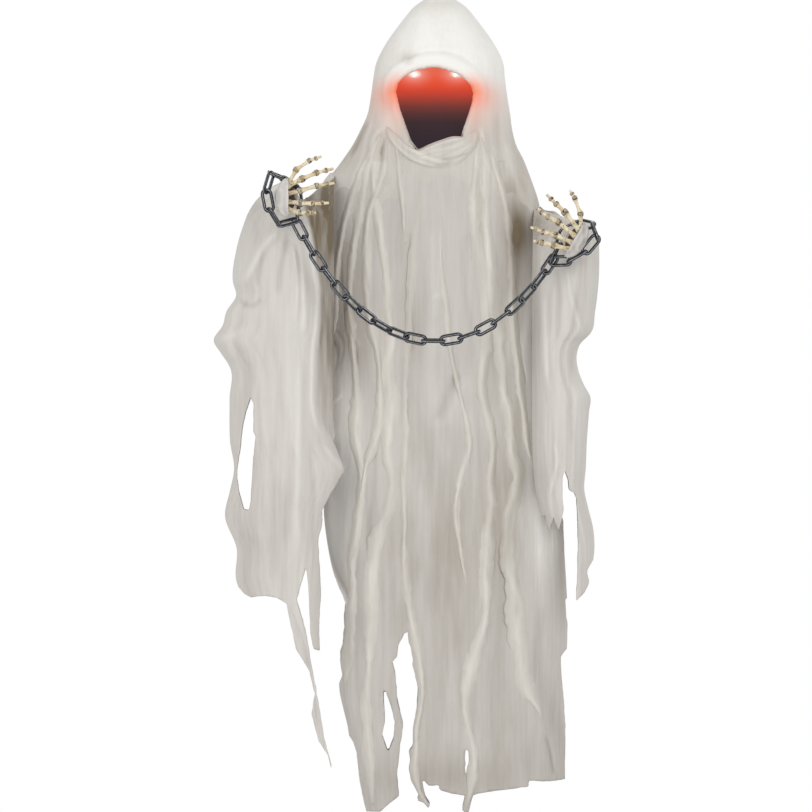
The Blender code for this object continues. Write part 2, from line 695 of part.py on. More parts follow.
def make_frame():
    shank_bore = SHANK_RADIUS + SHANK_FIT
    inner = POST_RADIUS - POST_WALL
    profile = [
        (POST_RADIUS, POST_TOP_Z),
        (POST_RADIUS, POST_BOTTOM_Z),
        (inner, POST_BOTTOM_Z),
        (inner, POST_TOP_Z - POST_TOP_WALL),
        (shank_bore, POST_TOP_Z - POST_TOP_WALL),
        (shank_bore, POST_TOP_Z),
    ]
    post = place("neck_post", turned("neck_post", profile, closed=True), LOOKS["tube"])

    half_depth = SHOULDER_BAR_DEPTH / 2
    half_height = SHOULDER_BAR_HEIGHT / 2
    cloth_depth = CLOTH + GAP + CLOTH
    ends = [
        side
        * (
            min(
                abs(wall_x(left, half_depth, SHOULDER_Z + dz, cloth_depth))
                for dz in (-half_height, half_height)
            )
            - GAP
        )
        for left, side in ((False, -1), (True, 1))
    ]
    low = (ends[0], -half_depth, SHOULDER_Z - half_height)
    high = (ends[1], half_depth, SHOULDER_Z + half_height)
    bar = place("shoulder_bar", box_mesh("shoulder_bar", low, high), LOOKS["shell"])
    boss = turned("bar_boss", [(BOSS_RADIUS, low[2]), (BOSS_RADIUS, high[2])])
    combine(bar, place("bar_boss", boss, LOOKS["shell"]), "UNION")
    radius = POST_RADIUS + GAP
    bore = turned("post_bore", [(radius, low[2] - OVERRUN), (radius, high[2] + OVERRUN)])
    combine(bar, place("post_bore", bore, LOOKS["steel"]), "DIFFERENCE")
    for end, side in zip(ends, (-1, 1)):
        bottom = end - side * (ARM_SOCKET_DEPTH + GAP)
        route = [(end + side * OVERRUN, 0, SHOULDER_Z), (bottom, 0, SHOULDER_Z)]
        radius = ARM_WIRE_RADIUS + GAP
        socket = tube("arm_socket", route, (radius, radius), ARM_SIDES, (0, 0, 1))
        combine(bar, place(f"arm_socket_{side}", socket, LOOKS["steel"]), "DIFFERENCE")

    head_y = -BOSS_RADIUS - GAP
    screw = turned(
        "post_screw",
        [
            (SCREW_HEAD_RADIUS, head_y - SCREW_HEAD_THICK),
            (SCREW_HEAD_RADIUS, head_y),
            (SCREW_RADIUS, head_y),
            (SCREW_RADIUS, -inner + POST_WALL),
        ],
        (0.0, 0.0, SHOULDER_Z),
        "y",
        THIN_SIDES,
    )
    place("post_screw", screw, LOOKS["steel"])
    radius = SCREW_RADIUS + GAP
    way = [(radius, -BOSS_RADIUS - OVERRUN), (radius, 0.0)]
    for target, name in ((bar, "bar_screw_way"), (post, "post_screw_way")):
        cutter = turned(name, way, (0.0, 0.0, SHOULDER_Z), "y", THIN_SIDES)
        combine(target, place(name, cutter, LOOKS["steel"]), "DIFFERENCE")
    return ends


def arm_route(end, side, elbow, wrist_x, wrist_z):
    """The arm's wire from its socket out through the robe, to the elbow and on to the wrist."""
    outside = side * (BODY_HALF_WIDTH + SLEEVE_GAP)
    inside = end - side * ARM_SOCKET_DEPTH
    pad_start = -FOREARM_REACH + FOREARM_PAD
    elbow_spot = (elbow[0], elbow[1], CROWN_Z - elbow[2])
    behind = tuple((a + b) / 2 for a, b in zip(elbow_spot, (wrist_x, pad_start, wrist_z)))
    return [
        (inside, 0.0, SHOULDER_Z),
        (outside, 0.0, SHOULDER_Z),
        elbow_spot,
        behind,
        (wrist_x, pad_start, wrist_z),
        (wrist_x, -FOREARM_REACH, wrist_z),
    ]


def arm_radii(extra):
    wire = ARM_WIRE_RADIUS
    padding = [FOREARM_RADIUS * share for share in (ELBOW_PAD_SHARE, UPPER_PAD_SHARE, 1.0, 1.0)]
    return [radius + extra for radius in (wire, wire, *padding)]


def link_mesh(name):
    """A stadium-shaped link in its own xy plane, long along x."""
    half_straight = (LINK_INNER + 2 * LINK_WIRE - LINK_WIDTH) / 2
    rings = []
    for centre, start in ((half_straight, -90), (-half_straight, 90)):
        for step in range(BOW_STEPS + 1):
            turn = math.radians(start + 180 * step / BOW_STEPS)
            out = np.array((math.cos(turn), math.sin(turn), 0.0))
            spot = np.array((centre, 0.0, 0.0)) + out * BOW_RADIUS
            rings.append(round_ring(spot, out, (0, 0, 1), LINK_WIRE / 2, LINK_WIRE / 2, WIRE_SIDES))
    return add_mesh(name, *skin(rings, looped=True))


def link_matrix(centre, way, upright):
    """A link along a way in the chain's plane, seen face-on or edge-on from the front."""
    along = Vector(way).normalized()
    front = Vector((0.0, 1.0, 0.0))
    across = front.cross(along)
    wide, thin = (across, along.cross(across)) if upright else (front, along.cross(front))
    turn = Matrix((along, wide, thin)).transposed().to_4x4()
    return Matrix.Translation(centre) @ turn


def hook_point(wrist_x, wrist_z, turn):
    """Where the slung chain's last link hangs on the loop round a wrist."""
    reach = LOOP_APOTHEM + BOW_RADIUS
    return np.array((wrist_x + reach * math.cos(turn), CHAIN_Y, wrist_z + reach * math.sin(turn)))


def slung_points(start, end, count, pitch):
    """Joints of a hanging chain: a catenary of the chain's length between two points."""
    span = end[0] - start[0]
    rise = end[2] - start[2]
    length = count * pitch
    ratio = math.sqrt(length**2 - rise**2) / span
    low, high = CURVE_LIMIT_SHARES
    for _ in range(CURVE_PASSES):
        mid = (low + high) / 2
        low, high = (mid, high) if math.sinh(mid) / mid < ratio else (low, mid)
    scale = span / (2 * low)
    shift = span / 2 - scale * math.atanh(rise / length)
    arc0 = scale * math.sinh(-shift / scale)
    points = []
    for k in range(count + 1):
        x = shift + scale * math.asinh((arc0 + length * k / count) / scale)
        z = scale * (math.cosh((x - shift) / scale) - math.cosh(shift / scale))
        points.append(np.array((start[0] + x, start[1], start[2] + z)))
    return points


def slung_joints():
    """The slung chain's joints, its end links pulled against the wires that they hook."""
    wrists = (
        (RIGHT_WRIST_X, CROWN_Z - RIGHT_WRIST_DROP, RIGHT_HOOK_TURN),
        (LEFT_WRIST_X, CROWN_Z - LEFT_WRIST_DROP, LEFT_HOOK_TURN),
    )
    wires = [hook_point(*wrist) for wrist in wrists]
    outs = [np.array((math.cos(turn), 0.0, math.sin(turn))) for _, _, turn in wrists]
    ends = list(wires)
    for _ in range(HOOK_PASSES):
        joints = slung_points(*ends, SWAG_LINKS, LINK_PITCH)
        ways = (joints[1] - joints[0], joints[-2] - joints[-1])
        for n, way in enumerate(ways):
            way = way / np.linalg.norm(way)
            apart = (LINK_WIRE + GAP) / np.dot(way, outs[n])
            ends[n] = wires[n] - way * (apart - (LINK_WIRE + GAP) / 2)
    return slung_points(*ends, SWAG_LINKS, LINK_PITCH)


def make_chain():
    """The slung chain, its links under an empty on the line that it swings about."""
    shape = link_mesh("swag_link")
    joints = slung_joints()
    parent = pivot("chain_swing_pivot", joints[0])
    for k in range(SWAG_LINKS):
        centre = (joints[k] + joints[k + 1]) / 2
        matrix = link_matrix(centre, joints[k + 1] - joints[k], upright=k % 2 == 1)
        place(f"swag_link_{k + 1:02d}", shape, LOOKS["chain"], matrix, parent)


def make_wrist_chain(name, wrist_x, wrist_z, turn, parent):
    """A closed loop of links round the wrist, in the plane that faces the viewer."""
    shape = link_mesh(name)
    loop = None
    for k in range(WRIST_LINKS):
        angle = turn + 2 * math.pi * k / WRIST_LINKS
        out = Vector((math.cos(angle), 0.0, math.sin(angle)))
        centre = Vector((wrist_x, CHAIN_Y, wrist_z)) + out * LOOP_APOTHEM
        way = Vector((-math.sin(angle), 0.0, math.cos(angle)))
        matrix = link_matrix(centre, way, upright=k % 2 == 0)
        if loop is None:
            base = shape.copy()
            base.transform(matrix)
            loop = place(name, base, LOOKS["chain"], parent=parent)
        else:
            link = shape.copy()
            link.transform(matrix)
            combine(loop, place(f"{name}_{k}", link, LOOKS["chain"]), "UNION")


def hand_frame(wrist_x, wrist_z, shift, turn):
    """The hand's centre at its root, the way it points and the way across it to the thumb."""
    centre_y = -FOREARM_REACH - GAP - PALM_HALF_DEPTH - GAP - CUFF_WALL
    centre = np.array((wrist_x + shift[0], centre_y, wrist_z + shift[1]))
    along = np.array((math.cos(turn), 0.0, math.sin(turn)))
    across = np.array((-math.sin(turn), 0.0, math.cos(turn)))
    return centre, along, across if across[2] > 0 else -across


def make_hand(side_name, frame, finger_shares, parent):
    centre, along, across = frame
    front = np.array((0.0, -1.0, 0.0))
    root = CUFF_WALL + GAP
    rings = []
    for at, share in (
        (root, PALM_ROOT_SHARE),
        (PALM_LENGTH * PALM_WIDEST_SHARE, 1.0),
        (root + PALM_LENGTH, PALM_KNUCKLE_SHARE),
    ):
        high, deep = PALM_HALF_HEIGHT * share, PALM_HALF_DEPTH * share
        rings.append(round_ring(centre + along * at, across, front, high, deep, PALM_SIDES))
    name = f"hand_{side_name}"
    hand = place(name, add_mesh(name, *skin(rings)), LOOKS["bone"], parent=parent)
    for n, points in enumerate(finger_shares):
        knots = [
            centre + (along * a + across * b + front * c) * HAND_LENGTH + along * HAND_ROOT
            for a, b, c in points
        ]
        route = []
        for first, second in zip(knots, knots[1:]):
            route += [first, (first + second) / 2]
        route.append(knots[-1])
        radii = [FINGER_RADIUS * share for share in BONE_RADIUS_SHARES]
        bone = tube(f"{name}_finger_{n}", route, radii, BONE_SIDES, (0, 1, 0))
        combine(hand, place(f"{name}_finger_{n}", bone, LOOKS["bone"]), "UNION")


def make_cuff(side_name, frame, parent):
    centre, along, across = frame
    front = np.array((0.0, -1.0, 0.0))
    high = PALM_HALF_HEIGHT + GAP
    deep = PALM_HALF_DEPTH + GAP
    spans = (
        (0.0, high + CUFF_WALL, deep + CUFF_WALL),
        (CUFF_LENGTH, high + CUFF_WALL, deep + CUFF_WALL),
        (CUFF_LENGTH, high, deep),
        (CUFF_WALL, high, deep),
    )
    rings = [
        round_ring(centre + along * at, across, front, tall, thick, PALM_SIDES)
        for at, tall, thick in spans
    ]
    name = f"cuff_{side_name}"
    place(name, add_mesh(name, *skin(rings)), LOOKS["cuff"], parent=parent)


def sleeve_grid(shares, near_x, side, width):
    """Ellipses down a hanging sleeve, between its near edge by the robe and its far edge."""
    table = np.array(shares)
    turns = np.linspace(0, 2 * math.pi, SLEEVE_COLUMNS, endpoint=False)[None, :]
    near = near_x + side * table[:, 1, None] * width
    far = near_x + side * table[:, 2, None] * width
    x = (near + far) / 2 + np.abs(far - near) / 2 * np.cos(turns)
    y = SLEEVE_CENTRE_Y - SLEEVE_HALF_DEPTH * table[:, 3, None] * np.sin(turns)
    z = np.broadcast_to(heights(table[:, 0, None]), x.shape)
    return np.stack([x, y, z], axis=2)


def make_sleeve(side_name, shares, near_x, side, width, hem_rows, holes, route, corner, parent):
    outer = sleeve_grid(shares, near_x, side, width)
    normals = grid_normals(outer, wrap=True)
    inner = outer - normals * CLOTH
    inner[0, :, 2] = outer[0, :, 2] - CLOTH
    name = f"sleeve_{side_name}"
    mesh = cloth_mesh(name, outer, inner, hem_rows, wrap=True, capped=True, holes=holes)
    sleeve = place(name, mesh, LOOKS["robe"], parent=parent)
    cutter = tube(f"{name}_arm_way", route, arm_radii(ARM_FIT), ARM_SIDES, corner)
    combine(sleeve, place(f"{name}_arm_way", cutter, LOOKS["steel"]), "DIFFERENCE")


def make_arm(side_name, route, corner, parent):
    """The arm, with a corner of its padding turned to the links that lie on it."""
    name = f"arm_{side_name}"
    place(name, tube(name, route, arm_radii(0.0), ARM_SIDES, corner), LOOKS["foam"], parent=parent)


def body_sheet(first, last, top, last_rows, depth):
    """A sheet over the body's columns and rows, its outer face at a depth under the outline."""
    columns = [i % BODY_COLUMNS for i in range(first, last + 1)]
    outer = body_layer(depth)[top:, columns]
    inner = body_layer(depth + CLOTH)[top:, columns]
    rows = [last_row - top for last_row in last_rows]
    return outer, inner, rows


def make_robe(ends):
    half = BODY_COLUMNS // 2
    for name, first, hems, shift in (
        ("robe_front", 0, FRONT_HEM_ROWS, -GAP),
        ("robe_back", half, BACK_HEM_ROWS, 0.0),
    ):
        sheet = body_sheet(first, first + half, SHELL_LAST_ROW, hems, CLOTH + GAP)
        outer, inner, rows = sheet
        for grid in (outer, inner):
            grid[:, [0, -1], 1] = shift
            grid[0, :, 2] -= GAP
        robe = place(name, cloth_mesh(name, outer, inner, rows), LOOKS["robe"])
        for end, side in zip(ends, (-1, 1)):
            spots = (end - side * OVERRUN, end + side * 2 * OVERRUN)
            route = [(spot, 0, SHOULDER_Z) for spot in spots]
            radius = ARM_WIRE_RADIUS + GAP
            cutter = tube(f"{name}_arm_way_{side}", route, (radius, radius), ARM_SIDES, (0, 0, 1))
            combine(robe, place(f"{name}_arm_way_{side}", cutter, LOOKS["steel"]), "DIFFERENCE")


def make_drapes():
    for name, columns, last_row in (
        ("drape_right", DRAPE_RIGHT_COLUMNS, DRAPE_RIGHT_LAST_ROW),
        ("drape_middle", DRAPE_MIDDLE_COLUMNS, DRAPE_MIDDLE_LAST_ROW),
        ("drape_left", DRAPE_LEFT_COLUMNS, DRAPE_LEFT_LAST_ROW),
    ):
        count = columns[1] - columns[0]
        hems = [last_row] * count
        outer, inner, rows = body_sheet(*columns, HOOD_LAST_ROW, hems, 0.0)
        for grid in (outer, inner):
            grid[0, :, 2] -= GAP
        place(name, cloth_mesh(name, outer, inner, rows), LOOKS["gauze"])

    folds = np.array(COWL_FOLD_SHARES)[:, None, None] * CLOTH
    columns = list(range(COWL_COLUMNS[0], COWL_COLUMNS[1] + 1))
    top, bottom = COWL_ROWS
    normals = BODY_NORMALS[top : bottom + 1, columns]
    inner = BODY[top : bottom + 1, columns] + normals * GAP
    outer = inner + normals * (CLOTH + folds)
    rows = [bottom - top] * (len(columns) - 1)
    cowl = place("neck_cowl", cloth_mesh("neck_cowl", outer, inner, rows), LOOKS["gauze"])
    combine(cowl, face_cutter("cowl_face_cutter", 1.0), "DIFFERENCE")


def make_battery_box():
    front = POST_RADIUS + GAP
    low = np.array((-BOX_WIDTH / 2, front, BOX_TOP_Z - BOX_HEIGHT))
    high = np.array((BOX_WIDTH / 2, front + BOX_DEPTH, BOX_TOP_Z))
    box = place("battery_box", box_mesh("battery_box", low, high), LOOKS["box"])
    wall = np.full(3, BOX_WALL)
    cut_high = high - wall
    cut_high[1] = high[1] + OVERRUN
    hollow = box_mesh("box_hollow", low + wall, cut_high)
    combine(box, place("box_hollow", hollow, LOOKS["steel"]), "DIFFERENCE")
    clip_low = BOX_TOP_Z - BOX_HEIGHT / 2
    clip_high = clip_low + BOX_HEIGHT / 4
    radius = POST_RADIUS + GAP
    clip = turned(
        "box_clip",
        [
            (radius, clip_low),
            (radius + CLIP_WALL, clip_low),
            (radius + CLIP_WALL, clip_high),
            (radius, clip_high),
        ],
        closed=True,
    )
    trim_low = (-BOX_WIDTH, front + BOX_WALL / 2, clip_low - OVERRUN)
    trim = box_mesh("clip_trim", trim_low, (BOX_WIDTH, front + BOX_DEPTH, clip_high + OVERRUN))
    clip = place("box_clip", clip, LOOKS["box"])
    combine(clip, place("clip_trim", trim, LOOKS["steel"]), "DIFFERENCE")
    combine(box, clip, "UNION")
    post_way = turned("box_post_way", [(radius, clip_low - OVERRUN), (radius, clip_high + OVERRUN)])
    combine(box, place("box_post_way", post_way, LOOKS["steel"]), "DIFFERENCE")

    door_pivot = pivot("battery_door_pivot", (0.0, high[1], BOX_TOP_Z))
    door = box_mesh(
        "battery_door",
        (low[0], high[1] + GAP, low[2]),
        (high[0], high[1] + GAP + DOOR_THICK, high[2]),
    )
    place("battery_door", door, LOOKS["box"], parent=door_pivot)

    cell_y = front + BOX_WALL + GAP + CELL_RADIUS
    cell_low = low[2] + BOX_WALL + GAP + CONTACT_THICK + GAP
    for name, side in (("battery_right", -1), ("battery_left", 1)):
        spot = (side * (CELL_RADIUS + GAP), cell_y, cell_low)
        cell_ends = [(CELL_RADIUS, 0.0), (CELL_RADIUS, CELL_LENGTH)]
        cell = turned(name, cell_ends, spot, sides=SMALL_SIDES)
        place(name, cell, LOOKS["cell"])
    half = 2 * CELL_RADIUS
    contacts = (
        ("contact_bottom", low[2] + BOX_WALL + GAP),
        ("contact_top", cell_low + CELL_LENGTH + GAP),
    )
    for name, z in contacts:
        plate_low = (-half, front + BOX_WALL + GAP, z)
        plate_high = (half, front + BOX_WALL + GAP + half, z + CONTACT_THICK)
        place(name, box_mesh(name, plate_low, plate_high), LOOKS["steel"])

    switch_x = high[0] + GAP
    switch_y = front + BOX_DEPTH / 2
    switch_z = BOX_TOP_Z - BOX_HEIGHT / 3
    switch_pivot = pivot("power_switch_pivot", (switch_x, switch_y, switch_z))
    switch = box_mesh(
        "power_switch",
        (switch_x, switch_y - SWITCH_WIDTH / 2, switch_z - SWITCH_HEIGHT / 2),
        (switch_x + SWITCH_STAND, switch_y + SWITCH_WIDTH / 2, switch_z + SWITCH_HEIGHT / 2),
    )
    place("power_switch", switch, LOOKS["switch"], parent=switch_pivot)


def make_lead():
    """The two-core lead from the light bar down behind the post to the battery box."""
    x = POST_RADIUS + GAP + CLIP_WALL / 2
    start_z = LAMP_Z - BAR_LIGHT_HEIGHT / 2 - GAP
    behind = BOSS_RADIUS + LEAD_RADIUS + GAP
    shoulder_top = SHOULDER_Z + SHOULDER_BAR_HEIGHT
    route = [
        (x, 0.0, start_z),
        (x, 0.0, start_z - OVERRUN),
        (x, behind / 2, start_z - 3 * OVERRUN),
        (x / 2, behind, start_z - 6 * OVERRUN),
        (x / 2, behind, shoulder_top),
        (x / 2, behind, BOX_TOP_Z + OVERRUN),
        (x / 2, behind, BOX_TOP_Z + GAP),
    ]
    radii = [LEAD_RADIUS] * len(route)
    lead = tube("led_lead", route, radii, THIN_SIDES, (1, 0, 0))
    place("led_lead", lead, LOOKS["lead"])


clear_scene()
LOOKS = {
    "hood": material("hood_gauze", (0.86, 0.85, 0.83), 0.9),
    "robe": material("robe_gauze", (0.72, 0.69, 0.65), 0.9),
    "gauze": material("drape_gauze", (0.78, 0.74, 0.66), 0.9),
    "cuff": material("cuff_gauze", (0.76, 0.74, 0.73), 0.9),
    "shell": material("moulded_plastic", (0.10, 0.10, 0.11), 0.6),
    "screen": material("dark_screen", (0.16, 0.02, 0.03), 0.7),
    "lamp": material("lamp_lens", (1.0, 0.75, 0.72), 0.2),
    "tube": material("frame_tube", (0.30, 0.31, 0.33), 0.5),
    "foam": material("arm_foam", (0.62, 0.60, 0.57), 0.9),
    "bone": material("bone_plastic", (0.78, 0.66, 0.46), 0.55),
    "chain": material("chain_plastic", (0.05, 0.055, 0.07), 0.3, 0.6),
    "steel": material("plated_steel", (0.62, 0.62, 0.62), 0.3, 1.0),
    "box": material("box_plastic", (0.05, 0.05, 0.05), 0.5),
    "switch": material("switch_plastic", (0.75, 0.75, 0.75), 0.4),
    "cell": material("cell_sleeve", (0.20, 0.25, 0.35), 0.35, 0.3),
    "lead": material("lead_sleeve", (0.12, 0.02, 0.02), 0.5),
}


def main():
    make_ring_and_crown()
    make_head()
    make_screen()
    make_light()
    bar_ends = make_frame()
    make_robe(bar_ends)
    make_drapes()
    make_battery_box()
    make_lead()

    robe_left = BODY_HALF_WIDTH * BODY_ROW_SHARES[FOLD_FULL_ROW][2]
    sides = (
        (
            "right",
            -1,
            bar_ends[0],
            (RIGHT_ELBOW_X, ELBOW_Y, RIGHT_ELBOW_DROP),
            (RIGHT_WRIST_X, CROWN_Z - RIGHT_WRIST_DROP),
            (RIGHT_PALM_SHIFT_X, RIGHT_PALM_SHIFT_Z),
            RIGHT_HAND_TURN,
            RIGHT_FINGER_SHARES,
            RIGHT_HOOK_TURN,
            (RIGHT_SLEEVE_SHARES, -BODY_HALF_WIDTH - SLEEVE_GAP, RIGHT_SLEEVE_WIDTH),
            (RIGHT_SLEEVE_HEM_ROWS, RIGHT_SLEEVE_HOLES),
        ),
        (
            "left",
            1,
            bar_ends[1],
            (LEFT_ELBOW_X, ELBOW_Y, LEFT_ELBOW_DROP),
            (LEFT_WRIST_X, CROWN_Z - LEFT_WRIST_DROP),
            (LEFT_PALM_SHIFT_X, LEFT_PALM_SHIFT_Z),
            LEFT_HAND_TURN,
            LEFT_FINGER_SHARES,
            LEFT_HOOK_TURN,
            (LEFT_SLEEVE_SHARES, robe_left + SLEEVE_GAP, LEFT_SLEEVE_WIDTH),
            (LEFT_SLEEVE_HEM_ROWS, ()),
        ),
    )
    for name, side, end, elbow, wrist, shift, turn, fingers, hook, sleeve, cut in sides:
        shoulder = pivot(f"shoulder_{name}", (end, 0.0, SHOULDER_Z))
        route = arm_route(end, side, elbow, *wrist)
        corner = (math.cos(hook), 0.0, math.sin(hook))
        make_arm(name, route, corner, shoulder)
        frame = hand_frame(*wrist, shift, turn)
        make_hand(name, frame, fingers, shoulder)
        make_cuff(name, frame, shoulder)
        make_wrist_chain(f"wrist_chain_{name}", *wrist, hook, shoulder)
        shares, near_x, width = sleeve
        make_sleeve(name, shares, near_x, side, width, cut[0], cut[1], route, corner, shoulder)
    make_chain()


main()
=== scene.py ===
"""Hanging ghost: gauze hood with a lit hollow face, ragged robe and sleeves, bone hands and
a chain slung between the wrists.

The viewer stands at -Y and +X is the figure's own left. Places that were read from the
picture are pixels, and at() turns them into metres.
"""

import math

import bmesh
import bpy
import numpy as np
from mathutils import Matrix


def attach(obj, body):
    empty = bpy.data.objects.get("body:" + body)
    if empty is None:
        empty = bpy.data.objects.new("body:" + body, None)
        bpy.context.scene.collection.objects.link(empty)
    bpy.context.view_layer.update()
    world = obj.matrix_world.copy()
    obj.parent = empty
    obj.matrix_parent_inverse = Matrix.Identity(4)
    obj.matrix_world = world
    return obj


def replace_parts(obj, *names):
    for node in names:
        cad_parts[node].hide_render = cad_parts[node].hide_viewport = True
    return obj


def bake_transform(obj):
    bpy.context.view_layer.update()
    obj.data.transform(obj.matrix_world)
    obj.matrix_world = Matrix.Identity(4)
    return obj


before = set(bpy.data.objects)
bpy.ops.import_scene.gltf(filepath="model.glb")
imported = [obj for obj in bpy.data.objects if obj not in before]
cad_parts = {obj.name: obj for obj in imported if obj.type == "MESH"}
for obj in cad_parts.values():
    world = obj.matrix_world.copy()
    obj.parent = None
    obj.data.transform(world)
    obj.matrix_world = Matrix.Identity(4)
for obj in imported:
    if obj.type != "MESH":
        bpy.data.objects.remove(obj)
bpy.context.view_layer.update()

# The picture: metres for each pixel, the figure's middle column, the row of the hook, its side
PIXEL = 0.00225
MIDDLE_PX = 440.0
TOP_PY = -28.0
PICTURE = 812

# Cloth: its thickness, the steps of its grids, the depth of full folds, how far the robe lies
# inside the hood's surface and how far a strip's edges pass under the cloth
GAUZE = 0.0012
CELL = 0.0053
HOOD_CELL = 0.0044
STRIP_CELL = 0.006
FOLD_DEPTH = 0.012
SINK = 0.0018
UNDER = 0.0026
SEAM = 2e-5
# The hood at the face: the rim's roll, the brow's bulge and reach, the picture rows over which
# the brow comes in, and those over which the head is painted paler, painted light from above
RIM_ROLL = 0.010
BROW_BULGE = 0.0075
BROW_REACH = 0.036
BROW_PY = (112, 84)
CROWN_LIGHT_PY = (150, 62)

# Figure's outline: shares of the drop, of the half width right and left, and of the half depth
CROWN_Z = -0.0413
HOOD_DROP = 0.43364
BODY_DROP = 1.85
HALF_WIDTH = 0.26
HALF_DEPTH = 0.125
HOOD_SHARE = 0.2344
BODY_ROWS = (
    (0.0000, 0.0120, 0.0120, 0.0248), (0.0000, 0.0540, 0.0540, 0.1120),
    (0.0050, 0.0960, 0.0960, 0.2000), (0.0117, 0.1380, 0.1380, 0.2850),
    (0.0215, 0.2310, 0.2310, 0.4640), (0.0398, 0.3380, 0.3380, 0.6560),
    (0.0642, 0.4620, 0.4620, 0.8160), (0.0871, 0.5460, 0.5420, 0.9120),
    (0.1074, 0.5750, 0.5600, 0.9440), (0.1290, 0.5960, 0.5800, 0.9600),
    (0.1507, 0.6250, 0.6050, 0.9600), (0.1698, 0.6850, 0.6230, 0.9360),
    (0.1885, 0.7540, 0.6580, 0.9040), (0.2074, 0.8450, 0.7250, 0.8800),
    (0.2344, 0.9800, 0.7980, 0.8560), (0.2588, 1.0000, 0.8540, 0.8320),
    (0.2912, 1.0000, 0.8890, 0.8160), (0.3344, 1.0000, 0.8890, 0.8160),
    (0.3885, 1.0000, 0.8890, 0.8160), (0.4425, 1.0000, 0.8890, 0.8240),
    (0.4966, 1.0000, 0.8890, 0.8560), (0.5507, 1.0000, 0.8890, 0.8960),
    (0.5993, 1.0000, 0.8890, 0.9360), (0.6425, 1.0000, 1.0600, 0.9600),
    (0.6966, 0.9400, 1.0800, 1.0000), (0.7507, 0.8300, 1.1000, 1.0200),
    (0.7777, 0.8200, 1.1000, 1.0200), (0.8425, 0.8700, 1.0850, 1.0400),
    (0.8966, 0.7900, 1.0800, 1.0600), (0.9398, 0.7400, 1.0800, 1.0800),
    (0.9669, 0.7000, 1.0800, 1.0800), (1.0000, 0.6400, 1.0800, 1.0800),
)
ROBE_TOP_Z = -0.426
ROBE_FOOT_Z = -1.888
# The row where the hood's cloth ends, fine steps down the outline, and the seeds of the folds
HOOD_LAST_ROW = 16.4
FINE_STEPS = 1500
FRONT_SEED = 3
BACK_SEED = 13

# Arms: each one's route runs from its shoulder's socket to the wrist
SHOULDER_Z = -0.5553
WRIST_RADIUS = 0.0215
FOREARM_REACH = 0.280
RIGHT_WRIST = np.array((-0.335, -FOREARM_REACH, -0.5085))
LEFT_WRIST = np.array((0.2925, -FOREARM_REACH, -0.5985))
RIGHT_ARM = (
    (-0.2270, 0.0, SHOULDER_Z), (-0.262, -0.004, SHOULDER_Z), (-0.330, -0.030, -0.590),
    (-0.382, -0.070, -0.598), (-0.376, -0.140, -0.560), (-0.356, -0.205, -0.518),
    (-0.348, -0.245, -0.5085), (-0.348, -0.279, -0.5085),
)
LEFT_ARM = (
    (0.1930, 0.0, SHOULDER_Z), (0.240, -0.004, SHOULDER_Z), (0.285, -0.030, -0.600),
    (0.310, -0.070, -0.636), (0.305, -0.140, -0.618), (0.295, -0.205, -0.602),
    (0.2925, -0.245, -0.5985), (0.2925, -0.279, -0.5985),
)
# The arm's radius at shares of its route
ARM_SHARES = (0.0, 0.22, 0.42, 0.60, 0.78, 0.90, 1.0)
ARM_RADII = (0.0045, 0.010, 0.014, 0.023, 0.027, 0.024, WRIST_RADIUS)
# Hands: the palm's web and the wrist's bones are reach, half height, half depth, lumps and wash
RIGHT_PALM = np.array((-0.366, -0.3081, -0.511))
LEFT_PALM = np.array((0.3225, -0.3081, -0.6168))
HAND_LENGTH = 0.120
HAND_ROOT = 0.014
THUMB_THICK = 0.0086
FINGER_THICK = 0.0098
BONE_SHARES = (1.0, 0.88, 0.76, 0.66)
PALM_PARTS = ((0.038, 0.028, 0.0025, 0.10, 1.6), (0.022, 0.034, 0.0090, 0.30, 0.35))
# The gauze round the hand's root, whose round end takes up a share of its rows
CUFF_HIGH = 0.0425
CUFF_DEEP = 0.0260
CUFF_REACH = 0.024
CUFF_TAIL = 0.010
CUFF_ROUND = 0.8
# Chain: every second slung link is rolled a quarter turn on from its own roll in degrees
LINK_WIDTH = 0.0270
LINK_INSIDE = 0.0411
LINK_WIRE = 0.0038
LINK_ROLLS = (15, 15, 15, 15, 20, 40, 30, 30, 45, 70, 80, 80, 85, 85, 88, 62, 45, 30, 20)
RING_RADIUS = 0.0135
RING_WIRE = 0.0015
RING_Z = -0.012
# The face's hollow: its wall, its rim's and its middle's way in, and its rim past the opening
BOWL_WALL = 0.0015
BOWL_START = 0.009
BOWL_DEPTH = 0.044
BOWL_OVERLAP = 1.12
BOWL_FRONT_Y = -0.0725
BOWL_CHIN = 0.04
# Sleeves: how far a thread falls before it hangs straight, the sections' middle, the gap round
# the forearm and each sleeve's lowest picture row
SLEEVE_ROUND = 0.046
SLEEVE_Y = -0.090
MOUTH_GAP = 0.001
RIGHT_FOOT_PY = 772
LEFT_FOOT_PY = 604

